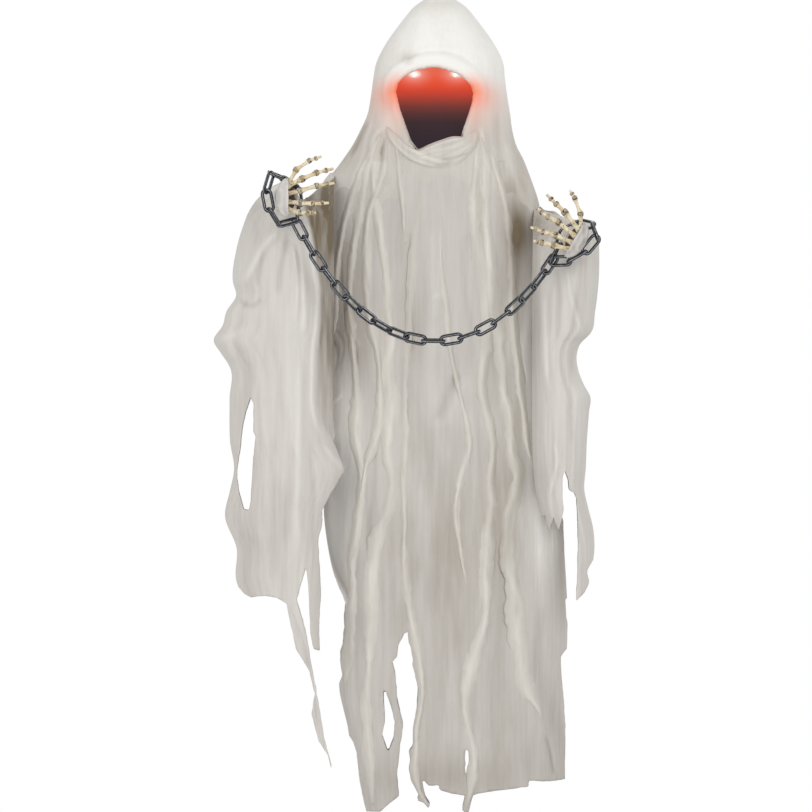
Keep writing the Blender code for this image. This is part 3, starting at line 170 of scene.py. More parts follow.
# Outlines read from the picture, in pixels
FACE_OPENING = (
    (396, 92), (398, 84), (403, 78), (410, 73.5), (418, 70.5), (427, 68.8), (436, 68), (444, 69.8),
    (452, 72.5), (460, 76), (466, 80.5), (471, 86.5), (473, 94), (472, 103), (468, 116), (463, 130),
    (461, 138), (453, 140), (441, 143), (429, 147), (418, 150), (411, 141), (405, 124), (400, 110),
)
HOOD_CUT = (
    (300, -60), (600, -60), (600, 205), (541, 211), (530, 226), (522, 212), (511, 200), (505, 228),
    (498, 210), (490, 198), (484, 216), (478, 236), (472, 205), (462, 190), (450, 184), (436, 187),
    (424, 193), (414, 188), (405, 200), (398, 226), (391, 205), (384, 215), (376, 240), (370, 212),
    (360, 198), (352, 214), (344, 194), (335, 205), (300, 205),
)
ROBE_CUT = (
    (300, 100), (600, 100), (600, 474), (567, 482), (563, 520), (564, 557), (568, 570), (570, 593),
    (565, 600), (566, 617), (569, 632), (567, 648), (560.6, 656), (560.6, 669), (564, 706),
    (566, 749), (565, 779), (546, 781), (528, 780), (528, 786), (502, 789), (476, 793), (473, 794),
    (468, 812), (462, 810), (465, 795), (450, 792), (439, 789), (439, 784), (428, 785), (421, 775),
    (425, 796), (430, 804), (428, 807), (423, 801), (415, 799), (419, 796), (418, 785), (412, 769),
    (409, 751), (413, 745), (413, 730), (417, 705), (418, 685), (416, 663), (415, 640), (413, 633),
    (409, 631), (405, 632), (398, 645), (397, 656), (392, 661), (395, 672), (397, 698), (403, 724),
    (402, 734), (400, 745), (397, 775), (399, 795), (378, 813), (367, 814), (360, 782), (358, 763),
    (357, 753), (354, 742), (343, 726), (338, 701), (338, 687), (344, 671), (347, 637), (349, 615),
    (346, 603), (338, 584), (330, 564), (322, 520), (300, 500),
)
ROBE_HOLES = (
    ((383, 684), (391, 705), (395, 721), (394, 737), (388, 752), (382, 735), (385, 721), (384, 705)),
    ((465.6, 738), (469, 751), (471, 781), (468, 787), (465, 769), (465, 755)),
)
RIGHT_SLEEVE_CUT = (
    (301, 201), (305, 200), (313.5, 193), (322.6, 184), (325, 179), (332, 170), (343, 165), (356, 165),
    (356, 420), (333, 440), (345, 470), (333, 490), (322, 510), (322, 525), (318, 538), (319, 560),
    (321, 589), (320, 608), (319, 636), (320, 650), (314, 648), (311, 632), (310, 608), (308, 575),
    (306.5, 565), (301, 584), (297, 599), (306, 632), (310, 656), (319, 705), (324, 737), (331, 763),
    (332, 769), (328, 754), (319, 740), (312, 713), (315, 692), (310, 671), (296, 647), (287, 603),
    (277, 597), (266, 595), (252, 597), (246, 594), (236, 584), (190, 560), (190, 200), (255, 200),
    (262, 187), (268, 181), (276, 178), (288, 181), (296, 191),
)
RIGHT_SLEEVE_HOLE = (
    (251, 397), (254, 403), (254, 432), (256, 436), (252.5, 478), (251, 502), (249.5, 510), (244, 509),
    (240, 495), (237.2, 478), (237.4, 471), (241, 444), (243, 425), (246, 412),
)
LEFT_SLEEVE_CUT = (
    (529, 196), (534, 201), (545, 210.6), (555, 211.5), (562, 217), (575, 220), (590, 222), (620, 222),
    (620, 560), (592, 560), (586, 571), (589, 582), (584, 592), (576, 600), (577, 570), (578, 540),
    (577, 512), (576, 498), (574, 493), (569, 490), (568, 480), (564, 469.5), (562, 479), (562, 497),
    (563, 512), (558, 530), (553, 515), (549, 532), (545, 514), (540, 522), (529, 500),
)
# Sleeve sections: picture row, columns of the near and far edge, half depth in metres
RIGHT_SLEEVE_ROWS = (
    (170, 336, 272, 0.085), (186, 334, 262.5, 0.100), (197, 333.5, 257, 0.110), (206, 333, 252, 0.115),
    (226, 333, 244, 0.120), (252, 333, 237, 0.120), (282, 333, 234, 0.120), (296, 333, 237, 0.120),
    (312, 333, 227, 0.120), (325, 333, 224, 0.120), (341, 333, 215, 0.119), (353, 333, 222, 0.118),
    (367, 333, 231, 0.117), (400, 333, 230.5, 0.115), (441, 336, 231, 0.115), (470, 350, 235, 0.113),
    (490, 344, 231, 0.112), (515, 332, 226, 0.110), (548, 326, 238, 0.108), (581, 325, 238, 0.102),
    (600, 324, 246, 0.098), (640, 324, 280, 0.085), (690, 326, 300, 0.070), (740, 334, 312, 0.060),
    (770, 338, 318, 0.055),
)
LEFT_SLEEVE_ROWS = (
    (200, 533, 566, 0.060), (213, 533, 585, 0.085), (224, 533, 594, 0.100), (236, 533, 598, 0.110),
    (250, 533, 598.5, 0.118), (280, 533, 598, 0.120), (313, 533, 594, 0.120), (334, 533, 589, 0.120),
    (343, 533, 580, 0.119), (354, 533, 576, 0.118), (369, 533, 577, 0.117), (387, 533, 584, 0.115),
    (396, 533, 589, 0.115), (412, 533, 588, 0.113), (442, 533, 586, 0.111), (467, 534, 585, 0.108),
    (490, 536, 583.5, 0.100), (507, 540, 587, 0.095), (529, 548, 592, 0.080), (548, 556, 593, 0.070),
    (575, 562, 589, 0.055), (602, 568, 586, 0.045),
)
# The line that each sleeve hangs from: shoulder, over the elbow, top of the wrist
RIGHT_RIDGE = (
    (-0.236, 0.004, -0.452), (-0.275, -0.004, -0.490), (-0.318, -0.030, -0.520),
    (-0.362, -0.075, -0.520), (-0.372, -0.140, -0.496), (-0.358, -0.200, -0.486),
    (-0.348, -0.236, -0.484),
)
LEFT_RIDGE = (
    (0.212, 0.004, -0.528), (0.238, -0.004, -0.538), (0.268, -0.030, -0.548),
    (0.300, -0.075, -0.560), (0.312, -0.140, -0.568), (0.304, -0.200, -0.572), (0.2925, -0.236, -0.574),
)
# Loops of chain round the wrists, from the hook: picture column and row, then y in metres
RIGHT_LOOP = (
    (297.5, 221, -0.262), (279, 225.5, -0.270), (269.8, 209, -0.277), (267.0, 189.5, -0.278),
    (273.5, 173.5, -0.268), (284.5, 180, -0.240), (296.5, 188, -0.226), (299.5, 204.5, -0.240),
)
LEFT_LOOP = (
    (550.5, 262, -0.262), (571.5, 260.5, -0.269), (586.5, 250, -0.274), (597, 235, -0.270),
    (589, 225, -0.242), (576, 223.5, -0.222), (562.5, 231, -0.232), (557.5, 247, -0.250),
)
# Each loop link's roll about its own length, in degrees from face-on, from the hook
RIGHT_LOOP_ROLLS = (60, 102, 6, 54, 102, 60, 140, 85)
LEFT_LOOP_ROLLS = (12, 98, 10, 96, 40, 110, 50, 100)

# Finger points, from the root to the tip: shares of the hand's length along, across and forward
RIGHT_FINGERS = (
    ((0.10, 0.25, 0.0), (0.25, 0.525, 0.05), (0.50, 0.694, 0.10), (0.72, 0.77, 0.14)),
    ((0.06, 0.20, 0.0), (0.366, 0.356, 0.06), (0.638, 0.469, 0.10), (0.947, 0.544, 0.08)),
    ((0.06, 0.07, 0.0), (0.328, 0.131, 0.06), (0.64, 0.225, 0.10), (0.985, 0.281, 0.08)),
    ((0.06, -0.07, 0.0), (0.328, -0.094, 0.06), (0.563, -0.113, 0.12), (0.872, -0.094, 0.12)),
    ((0.06, -0.20, 0.0), (0.328, -0.281, 0.05), (0.48, -0.285, 0.12), (0.628, -0.281, 0.16)),
)
LEFT_FINGERS = (
    ((0.10, 0.25, 0.0), (0.24, 0.47, 0.05), (0.486, 0.673, 0.08), (0.625, 0.745, 0.06)),
    ((0.06, 0.17, 0.0), (0.518, 0.351, 0.07), (0.72, 0.40, 0.11), (0.96, 0.463, 0.08)),
    ((0.06, 0.05, 0.0), (0.53, 0.128, 0.07), (0.737, 0.116, 0.12), (0.99, 0.143, 0.10)),
    ((0.06, -0.07, 0.0), (0.456, -0.11, 0.07), (0.68, -0.175, 0.14), (0.936, -0.216, 0.16)),
    ((0.06, -0.20, 0.0), (0.394, -0.293, 0.05), (0.597, -0.355, 0.12), (0.749, -0.411, 0.16)),
)

# Loose strips of gauze: picture points (column, row), then the width in metres
DRAPES = {
    "drape_right": (
        ((
            (389, 122), (378, 146), (373, 172), (376, 205), (381, 241), (386, 272), (387, 306),
            (389, 341), (388, 378), (392, 395), (390, 422), (387, 452), (392, 483), (389, 510),
            (380, 531), (375, 550), (371, 579), (372, 610), (371, 650), (367, 705), (367, 732),
            (370, 775), (372, 804),
        ), 0.021),
        ((
            (384, 126), (370, 160), (362, 200), (354, 245), (351, 300), (352, 350), (357, 400),
            (354, 441), (361, 472), (359, 502), (355, 531), (351, 560), (352, 589), (351, 614),
            (348, 656), (345, 690),
        ), 0.018),
        ((
            (386, 128), (384, 170), (370, 215), (366, 270), (372, 330), (380, 370), (381, 410),
            (376, 437), (367, 464), (362, 490), (359, 520),
        ), 0.014),
        (((390, 126), (396, 146), (399, 172), (402, 202), (405, 244)), 0.010),
        (((380, 132), (360, 175), (343, 226), (335, 290), (332, 350)), 0.012),
    ),
    "drape_middle": (
        ((
            (446, 166), (441, 230), (444, 300), (452, 360), (465, 420), (468, 445), (464, 468),
            (459, 493), (457, 512), (461, 545), (466, 584),
        ), 0.012),
        ((
            (422, 164), (415, 230), (410, 300), (406, 380), (404, 470), (405, 560), (409, 598),
            (413, 625), (416, 650), (419, 671), (422, 694), (420, 712), (416, 726), (416, 745),
            (414, 770), (421, 794), (428, 805),
        ), 0.013),
    ),
    "drape_left": (
        ((
            (472, 124), (479, 145), (477, 169), (475, 195), (475, 221), (477, 242), (483, 269),
            (486, 300), (486.5, 341), (482.5, 366), (482, 387), (486.5, 410), (491, 433),
            (493, 452), (491, 483), (491, 505), (488, 530), (486, 570), (486, 606), (480, 636),
            (473, 660), (468, 682), (466, 705), (469, 728), (473, 751), (470, 788), (464, 808),
        ), 0.018),
        ((
            (478, 126), (485, 151), (486, 196), (489, 240), (494, 289), (498, 330), (499, 355),
            (503, 372), (504, 397), (508, 414), (510, 437), (512, 456), (519, 472), (516, 495),
            (509.5, 521), (508.5, 550), (512, 583), (516, 614), (518, 637), (522, 660), (525, 684),
            (532, 696), (539, 708), (544, 726),
        ), 0.021),
        ((
            (484, 132), (498, 176), (508, 230), (512, 280), (515, 330), (520, 380), (524, 420),
            (526, 440), (529, 454), (533, 468),
        ), 0.013),
        (((531, 258), (534, 280), (537, 310), (539, 340), (538, 388)), 0.014),
    ),
}
# The gathered neck, from the figure's right to its left
COWL_TOP = (
    (384, 123), (391, 129), (399, 138), (408, 146), (418, 149.5), (429, 145), (441, 140.5),
    (453, 137), (462, 136.8), (470, 133), (479, 126),
)
COWL_FOOT = (
    (382, 126), (388, 140), (397, 152), (408, 161), (420, 167), (434, 171), (449, 171), (460, 167),
    (470, 158), (478, 144), (481, 128),
)

# Drawn folds: picture points, half width in pixels, height in metres, tint; plus is brown painted
# shade in a crease, minus a paler painted highlight on a ridge
COWL_LINES = (
    (((388, 126), (400, 140), (414, 152), (430, 160), (450, 164)), 2.3, 0.0050, -0.45),
    (((386, 129), (396, 146), (408, 157), (422, 164), (440, 168)), 2.1, 0.0040, -0.35),
    (((392, 128), (403, 142), (416, 152), (430, 156)), 1.7, 0.0035, -0.30),
    (((418, 150), (430, 147), (441, 143), (453, 140), (464, 139.5)), 2.6, 0.0050, -0.35),
    (((422, 154), (438, 151), (454, 147.5), (469, 141)), 2.4, 0.0045, -0.30),
    (((432, 157.5), (446, 155.5), (460, 152), (473, 144)), 2.2, 0.0035, -0.20),
    (((438, 160.5), (454, 158.5), (471, 153)), 1.4, -0.0030, 0.40),
    (((478, 130), (475, 144), (466, 155), (450, 165)), 2.4, 0.0035, -0.25),
    (((406, 141), (413, 147), (420, 151)), 1.2, -0.0020, 0.30),
)
HOOD_LINES = (
    ((
        (402, 66), (411, 58.5), (424, 54), (437, 52.6), (450, 54), (463, 58.5), (473, 66),
    ), 1.7, -0.0028, 0.16),
    (((386, 126), (376, 134), (372, 165), (376, 200)), 2.4, 0.0045, -0.30),
    (((388, 127), (395, 142), (399, 170), (401, 196)), 2.1, 0.0035, -0.30),
    (((381, 134), (384, 165), (387, 190)), 3.6, -0.0030, 0.34),
    (((369, 120), (360, 140), (350, 160)), 2.2, -0.0020, 0.30),
    (((374, 108), (366, 140), (357, 170), (348, 190)), 2.4, 0.0030, -0.15),
    (((481, 126), (484, 151), (483, 192)), 2.6, 0.0045, -0.35),
    (((476, 146), (474, 170), (474, 202)), 2.1, 0.0035, -0.30),
    (((497, 108), (500, 150), (504, 190)), 3.8, -0.0030, 0.14),
    (((506, 140), (515, 176), (526, 206)), 3.2, 0.0030, -0.12),
    (((392, 102), (396, 118), (406, 138)), 1.4, 0.0020, -0.10),
)
ROBE_LINES = (
    (((315, 505), (321, 530), (327, 556), (335, 577), (344, 595), (350, 615)), 2.6, 0.0025, -0.95),
    (((516, 326), (520, 358), (526, 388)), 1.7, -0.0040, 0.50),
    (((512, 300), (515, 340), (519, 366)), 1.6, 0.0030, -0.20),
    (((340, 245), (343, 290), (349, 330), (357, 352), (359, 380)), 1.5, -0.0030, 0.42),
    (((326, 300), (329, 330), (338, 352), (332, 382)), 1.5, -0.0030, 0.36),
    (((334, 326), (344, 343), (337, 374)), 1.3, -0.0020, 0.30),
    (((348, 300), (352, 330), (363, 350)), 1.6, 0.0030, -0.20),
    (((459, 370), (447, 399), (436, 424)), 5.6, -0.0045, 0.24),
    (((343, 393), (331, 406), (321, 421)), 1.9, 0.0035, -0.40),
    (((430, 226), (433, 270), (431, 330)), 7.0, 0.0045, -0.10),
    (((412, 226), (408, 300), (413, 362)), 4.5, -0.0035, 0.10),
    (((468, 226), (465, 280), (472, 334)), 4.5, -0.0035, 0.10),
    (((426, 300), (440, 296), (450, 312)), 3.0, 0.0025, -0.10),
    (((544, 733), (549, 750), (553, 777)), 1.8, -0.0030, 0.34),
    (((420, 470), (424, 560), (421, 640)), 6.0, 0.0040, -0.08),
    (((440, 510), (436, 600), (441, 690), (438, 776)), 8.0, -0.0045, 0.08),
    (((500, 520), (503, 600), (498, 700), (501, 780)), 8.0, -0.0045, 0.08),
    (((535, 430), (540, 520), (545, 600), (548, 700)), 5.5, 0.0040, -0.10),
    (((376, 420), (372, 500), (365, 560)), 3.0, -0.0035, 0.14),
    (((340, 540), (350, 600), (352, 680), (356, 740)), 3.5, 0.0040, -0.12),
    (((385, 560), (388, 640), (382, 730)), 4.0, 0.0040, -0.08),
    (((470, 400), (476, 470), (470, 560)), 4.5, 0.0035, -0.10),
    (((455, 560), (452, 640), (457, 720)), 4.0, 0.0030, -0.08),
)
SLEEVE_LINES = (
    (((284, 228), (274, 236), (262, 250), (252, 268), (242, 286)), 3.2, 0.0065, -0.34),
    (((290, 231), (286, 250), (281, 272), (279, 300)), 3.4, -0.0055, 0.22),
    (((296, 234), (302, 258), (304, 288), (305, 314), (304, 338)), 2.3, 0.0055, -0.34),
    (((291, 238), (296, 260), (298, 300), (296, 326)), 1.9, 0.0045, -0.26),
    ((
        (308, 228), (313, 262), (318, 290), (317, 322), (313.5, 351), (313, 374), (313, 404),
        (317, 424), (328, 444),
    ), 2.0, 0.0055, -0.36),
    (((268, 240), (262, 262), (256, 290)), 3.0, -0.0045, 0.16),
    (((238, 298), (250, 306), (264, 298)), 3.0, -0.0050, 0.20),
    (((270, 300), (276, 340), (280, 400), (276, 470)), 5.5, -0.0045, 0.12),
    (((258, 330), (262, 400), (268, 470), (264, 560)), 4.5, 0.0045, -0.12),
    (((300, 350), (300, 420), (297, 500), (301, 556)), 3.8, 0.0045, -0.18),
    (((288, 400), (291, 470), (287, 550)), 4.5, -0.0040, 0.10),
    (((218, 340), (232, 336), (246, 326)), 3.0, 0.0050, -0.14),
    (((310, 440), (314, 490), (312, 560)), 3.0, -0.0035, 0.14),
    (((324, 444), (334, 458), (344, 470)), 2.2, 0.0030, -0.20),
    (((565, 262), (571, 300), (578, 324), (583, 338)), 2.2, 0.0045, -0.22),
    (((543, 290), (544, 340), (546, 388)), 2.6, 0.0050, -0.36),
    (((556, 262), (558, 300), (556, 350)), 3.2, -0.0045, 0.16),
    (((553, 438), (556, 460), (549, 498), (554, 524)), 2.2, 0.0045, -0.30),
    (((572, 352), (570, 400), (573, 452)), 3.4, -0.0035, 0.10),
    (((588, 250), (590, 290), (586, 330)), 3.0, 0.0040, -0.10),
)
# Where the right sleeve's front panel turns in: picture row and column
PANEL_EDGE = (
    (196, 300), (215, 304), (230, 309), (252, 313), (290, 319), (322, 319), (352, 315.5),
    (404, 315), (424, 320), (441, 330), (456, 350),
)

# Painted shade and light: column, row, half width and half height in pixels, and strength;
# plus is brown painted shade, minus is paler painted light
ROBE_SHADES = (
    (348, 290, 20, 76, 0.36), (346, 345, 22, 44, 0.20), (330, 225, 12, 40, 0.10),
    (519, 232, 12, 26, 0.95), (514, 266, 8, 36, 0.50), (530, 300, 8, 50, -0.50),
    (528, 345, 10, 40, -0.45), (530, 430, 7, 60, -1.20),
    (514, 210, 12, 20, 0.20), (531, 345, 7, 50, -0.50), (350, 222, 9, 22, -0.45),
    (508, 340, 4, 30, -0.30), (340, 392, 12, 36, -0.55), (401, 262, 9, 40, 0.18),
    (440, 776, 60, 22, 0.30),
    (344, 440, 18, 54, -0.75), (334, 532, 14, 52, -1.15), (547, 520, 15, 48, -1.30),
    (500, 500, 22, 56, 0.26), (352, 560, 12, 30, 0.14),
    (440, 650, 90, 180, 0.13), (400, 520, 16, 60, 0.10), (455, 500, 18, 70, 0.08),
    (500, 560, 14, 40, 0.10),
)
HOOD_SHADES = (
    (366, 152, 14, 26, 0.16), (376, 168, 8, 14, 0.12), (381, 150, 6, 20, 0.22),
    (512, 192, 13, 20, 0.44), (515, 221, 9, 15, 0.95),
    (500, 150, 14, 34, -0.14), (388, 124, 8, 16, -0.35), (348, 200, 14, 18, -0.42),
    (436, 6, 26, 9, 0.26), (374, 62, 10, 56, 0.34), (409, 61, 9, 8, 0.85), (392, 60, 14, 40, 0.16),
)
SLEEVE_SHADES = (
    (256, 215, 10, 30, 0.12), (552, 226, 16, 18, 0.34), (270, 520, 30, 40, 0.05),
    (262, 560, 30, 30, 0.10),
    (300, 224, 12, 8, 0.20), (574, 262, 20, 8, 0.14), (538, 222, 8, 18, 0.42),
    (534, 300, 6, 110, 0.34),
    (576, 400, 10, 40, -0.25), (570, 300, 16, 50, 0.12),
)
# The panel's brown shade: rows over which it comes in and goes out, and its strength by row
PANEL_IN_PY = (172, 184)
PANEL_OUT_PY = (438, 452)
PANEL_ROWS = (190, 240, 330, 400, 450)
PANEL_STRENGTHS = (1.40, 1.20, 1.05, 0.48, 0.35)
# Lamps, and their red light on the cloth: its middle column, the columns out from there over
# which it comes in, its strength by row, and the rows between which the rim's light ends
LAMPS = ((414.5, 74.5), (456.5, 74.0))
GLOW_PX = 435
GLOW_SIDES = (25, 39)
GLOW_ROWS = (68, 78, 86, 93, 101, 112, 126, 144)
GLOW_STRENGTHS = (0.0, 0.42, 0.86, 1.0, 0.85, 0.46, 0.24, 0.0)
RIM_GLOW_PY = (84, 98)
HOLLOW_PY = (68, 140)
# Strips of gauze: lift above the cloth, the lift added to the next, and the length over which
# one comes out of the cloth
STRIP_LIFT = 0.0012
STRIP_STEP = 0.0009
STRIP_RISE = 0.09
MIDDLE_RISES = (0.50, 0.90)


def row_height(py):
    """The height of a picture row in metres."""
    return (TOP_PY - np.asarray(py, float)) * PIXEL


def at(px, py):
    """Picture pixels as x and z in metres."""
    return (np.asarray(px, float) - MIDDLE_PX) * PIXEL, row_height(py)


def pixels(x, z):
    """Metres as picture columns and rows."""
    return np.asarray(x) / PIXEL + MIDDLE_PX, TOP_PY - np.asarray(z) / PIXEL


def through(value, knots, heights):
    """Smooth curve through knots: cubic pieces whose slope at a knot joins its two neighbours."""
    knots, heights = np.asarray(knots, float), np.asarray(heights, float)
    slopes = np.gradient(heights, knots)
    value = np.clip(value, knots[0], knots[-1])
    low = np.clip(np.searchsorted(knots, value) - 1, 0, len(knots) - 2)
    width = knots[low + 1] - knots[low]
    s = (value - knots[low]) / width
    return (
        (2 * s**3 - 3 * s**2 + 1) * heights[low]
        + (s**3 - 2 * s**2 + s) * width * slopes[low]
        + (3 * s**2 - 2 * s**3) * heights[low + 1]
        + (s**3 - s**2) * width * slopes[low + 1]
    )


def path_through(points, count):
    """A smooth path through points, at even steps of its length."""
    points = np.asarray(points, float)
    steps = np.concatenate([[0], np.cumsum(np.linalg.norm(np.diff(points, axis=0), axis=1))])
    share = np.linspace(0, steps[-1], count)
    return np.stack([through(share, steps, points[:, n]) for n in range(points.shape[1])], axis=1)


def smooth(value, low, high):
    """0 below low, 1 above high and an even swing between."""
    s = np.clip((value - low) / (high - low), 0, 1)
    return s * s * (3 - 2 * s)


def lattice(i, j, seed):
    """A fixed number from -1 to 1 for each whole place (i, j)."""
    mix = np.sin(i * 127.1 + j * 311.7 + seed * 74.7) * 43758.5453
    return 2 * (mix - np.floor(mix)) - 1


def drift(u, v, seed):
    """Smooth noise from -1 to 1: lattice numbers blended by an even swing between places."""
    u, v = np.broadcast_arrays(np.asarray(u, float), np.asarray(v, float))
    i, j = np.floor(u), np.floor(v)
    a, b = u - i, v - j
    a, b = a * a * (3 - 2 * a), b * b * (3 - 2 * b)
    low = lattice(i, j, seed) * (1 - a) + lattice(i + 1, j, seed) * a
    high = lattice(i, j + 1, seed) * (1 - a) + lattice(i + 1, j + 1, seed) * a
    return low * (1 - b) + high * b


def crinkle(u, v, seed):
    """Noise of three sizes, each half as wide and half as strong as the last."""
    total = drift(u, v, seed)
    for n in (1, 2):
        total = total + drift(u * 2**n, v * 2**n, seed + n) / 2**n
    return total / 2


def folds(a, z, seed, width=0.062, length=0.42):
    """Long falling folds from -1 to 1: crinkle stretched down the cloth, its crests sharpened."""
    lean = 0.45 * drift(a / 0.3, z / 0.30, seed + 9)
    n = crinkle(a / width + lean, z / length, seed)
    return 0.55 * n + 0.45 * (1 - 2.4 * np.abs(n))


def spots(x, z, table):
    """Sum of soft round spots, each exp(-distance squared) in its own widths."""
    px, py = pixels(x, z)
    total = np.zeros(np.shape(px))
    for cx, cy, wide, tall, strength in table:
        total = total + strength * np.exp(-(((px - cx) / wide) ** 2) - ((py - cy) / tall) ** 2)
    return total


def edge_distance(x, z, outline):
    """How far points lie inside an outline of (x, z) corners: plus inside, minus outside."""
    corners = np.asarray(outline, float)
    nearest = np.full(x.shape, np.inf)
    inside = np.zeros(x.shape, bool)
    for (ax, az), (bx, bz) in zip(corners, np.roll(corners, -1, axis=0)):
        dx, dz = bx - ax, bz - az
        share = np.clip(((x - ax) * dx + (z - az) * dz) / (dx * dx + dz * dz), 0, 1)
        nearest = np.minimum(nearest, np.hypot(x - ax - share * dx, z - az - share * dz))
        if dz:
            inside ^= ((az > z) != (bz > z)) & (x < ax + (z - az) / dz * dx)
    return np.where(inside, nearest, -nearest)


def pixel_outline(points):
    """An outline of picture pixels as (x, z) in metres."""
    px, py = np.asarray(points, float).T
    return np.stack(at(px, py), axis=1)


def line_marks(x, z, lines):
    """Height and tint of folds drawn along picture lines; the tint is painted light and shade.

    A mark is exp(-distance squared) in its own half width, fading to nothing at both ends of
    the line, with a soft painted shadow on its right side.
    """
    px, py = pixels(x, z)
    height, tint = np.zeros(px.shape), np.zeros(px.shape)
    for points, wide, high, light in lines:
        corners = path_through(points, 4 * len(points))
        nearest = np.full(px.shape, np.inf)
        along, side = np.zeros(px.shape), np.zeros(px.shape)
        for n, (start, end) in enumerate(zip(corners, corners[1:])):
            dx, dy = end - start
            share = ((px - start[0]) * dx + (py - start[1]) * dy) / (dx * dx + dy * dy)
            share = np.clip(share, 0, 1)
            far = np.hypot(px - start[0] - share * dx, py - start[1] - share * dy)
            closer = far < nearest
            nearest = np.where(closer, far, nearest)
            along = np.where(closer, (n + share) / (len(corners) - 1), along)
            side = np.where(closer, (px - start[0]) * dy - (py - start[1]) * dx, side)
        ends = smooth(along, 0.0, 0.18) * smooth(1 - along, 0.0, 0.18)
        mark = np.exp(-((nearest / wide) ** 2)) * ends
        shadow = np.exp(-(((nearest - 1.5 * wide) / wide) ** 2)) * ends * (side > 0)
        height += high * mark
        tint += light * (mark - 0.35 * shadow)
    return height, tint


def cut_field(points, keep, holes, fray, seed):
    """Plus where cloth stays: inside the keep outline, outside the holes, with a frayed edge."""
    x, z = points[..., 0], points[..., 2]
    field = edge_distance(x, z, pixel_outline(keep))
    for hole in holes:
        field = np.minimum(field, -edge_distance(x, z, pixel_outline(hole)))
    return field + fray * crinkle(x / 0.014, z / 0.014, seed)


def metric_maps(points):
    """Map coordinates in metres: the length run across each row and down each column."""
    across = np.linalg.norm(np.diff(points, axis=1), axis=2)
    down = np.linalg.norm(np.diff(points, axis=0), axis=2)
    u = np.concatenate([np.zeros((points.shape[0], 1)), np.cumsum(across, axis=1)], axis=1)
    v = np.concatenate([np.zeros((1, points.shape[1])), np.cumsum(down, axis=0)], axis=0)
    return np.stack([u - u[:, u.shape[1] // 2, None], v], axis=2)


def snap_to_edge(stack, field):
    """Moves the grid's points that lie next to the cut edge on to it.

    Along each grid line that crosses the edge, the nearer of the two points slides to where
    the field would be zero, by straight interpolation. The stack holds all that moves with it.
    """
    best = np.full(field.shape, 0.5)
    moved = np.zeros(field.shape, bool)
    out = stack.copy()
    for axis, step in ((0, 1), (0, -1), (1, 1), (1, -1)):
        other = np.roll(field, -step, axis=axis)
        crossing = field * other < 0
        rim = [slice(None)] * 2
        rim[axis] = -1 if step == 1 else 0
        crossing[tuple(rim)] = False
        share = np.where(crossing, field / np.where(crossing, field - other, 1.0), 1.0)
        take = crossing & (share < best)
        best = np.where(take, share, best)
        out[take] = (stack + (np.roll(stack, -step, axis=axis) - stack) * share[..., None])[take]
        moved |= take
    return out, np.where(moved, 0.0, field)


def part(points, tints=0.0, glows=0.0, field=None):
    """One grid of a piece: its points, map coordinates, tints, glows and faces.

    With a field, only the cells where it is plus are kept, and cells at its edge become
    triangles where three corners are kept.
    """
    rows, columns = points.shape[:2]
    marks = [np.broadcast_to(mark, (rows, columns))[..., None] for mark in (tints, glows)]
    stack = np.concatenate([points, metric_maps(points), *marks], axis=2)
    if field is not None:
        stack, field = snap_to_edge(stack, field)
    j, i = np.meshgrid(np.arange(rows - 1), np.arange(columns - 1), indexing="ij")
    corner = j * columns + i
    cells = np.stack([corner, corner + columns, corner + columns + 1, corner + 1], axis=-1)
    cells = cells.reshape(-1, 4)
    stack = stack.reshape(rows * columns, -1)
    if field is None:
        return stack, cells.tolist()
    value = field.reshape(-1)[cells]
    kept = value >= 0
    faces = cells[kept.all(axis=1) & (value > 0).any(axis=1)].tolist()
    for n in range(4):
        others = [m for m in range(4) if m != n]
        three = ~kept[:, n] & kept[:, others].all(axis=1) & (value[:, others] > 0).any(axis=1)
        faces += cells[three][:, others].tolist()
    return stack, faces


def make(name, parts, look, body="figure"):
    """A named piece from its grids, joined at their seams, with its look and body."""
    stack = np.concatenate([p[0] for p in parts])
    faces, start = [], 0
    for points, cells in parts:
        faces += [[v + start for v in cell] for cell in cells]
        start += len(points)
    used = np.zeros(len(stack), bool)
    used[np.concatenate([np.asarray(f) for f in faces])] = True
    index = np.cumsum(used) - 1
    mesh = bpy.data.meshes.new(name)
    mesh.from_pydata(stack[used, :3].tolist(), [], [index[f].tolist() for f in faces])
    corners = np.empty(len(mesh.loops), int)
    mesh.loops.foreach_get("vertex_index", corners)
    layer = mesh.uv_layers.new(name="weave")
    layer.data.foreach_set("uv", stack[used, 3:5][corners].ravel())
    for n, mark in ((5, "tint"), (6, "glow")):
        mesh.attributes.new(mark, "FLOAT", "POINT").data.foreach_set("value", stack[used, n])
    work = bmesh.new()
    work.from_mesh(mesh)
    bmesh.ops.remove_doubles(work, verts=work.verts, dist=SEAM)
    bmesh.ops.dissolve_degenerate(work, edges=work.edges, dist=SEAM / 10)
    bmesh.ops.recalc_face_normals(work, faces=work.faces)
    work.to_mesh(mesh)
    work.free()
    mesh.shade_smooth()
    mesh.materials.append(look)
    piece = bpy.data.objects.new(name, mesh)
    bpy.context.collection.objects.link(piece)
    if body:
        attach(piece, body)
    return piece


def cloth(name, parts, look, body="figure", thickness=GAUZE):
    """A sheet or a thin wall with its thickness, half on each side."""
    piece = make(name, parts, look, body)
    wall = piece.modifiers.new("thickness", "SOLIDIFY")
    wall.thickness = thickness
    wall.offset = 0.0
    return piece


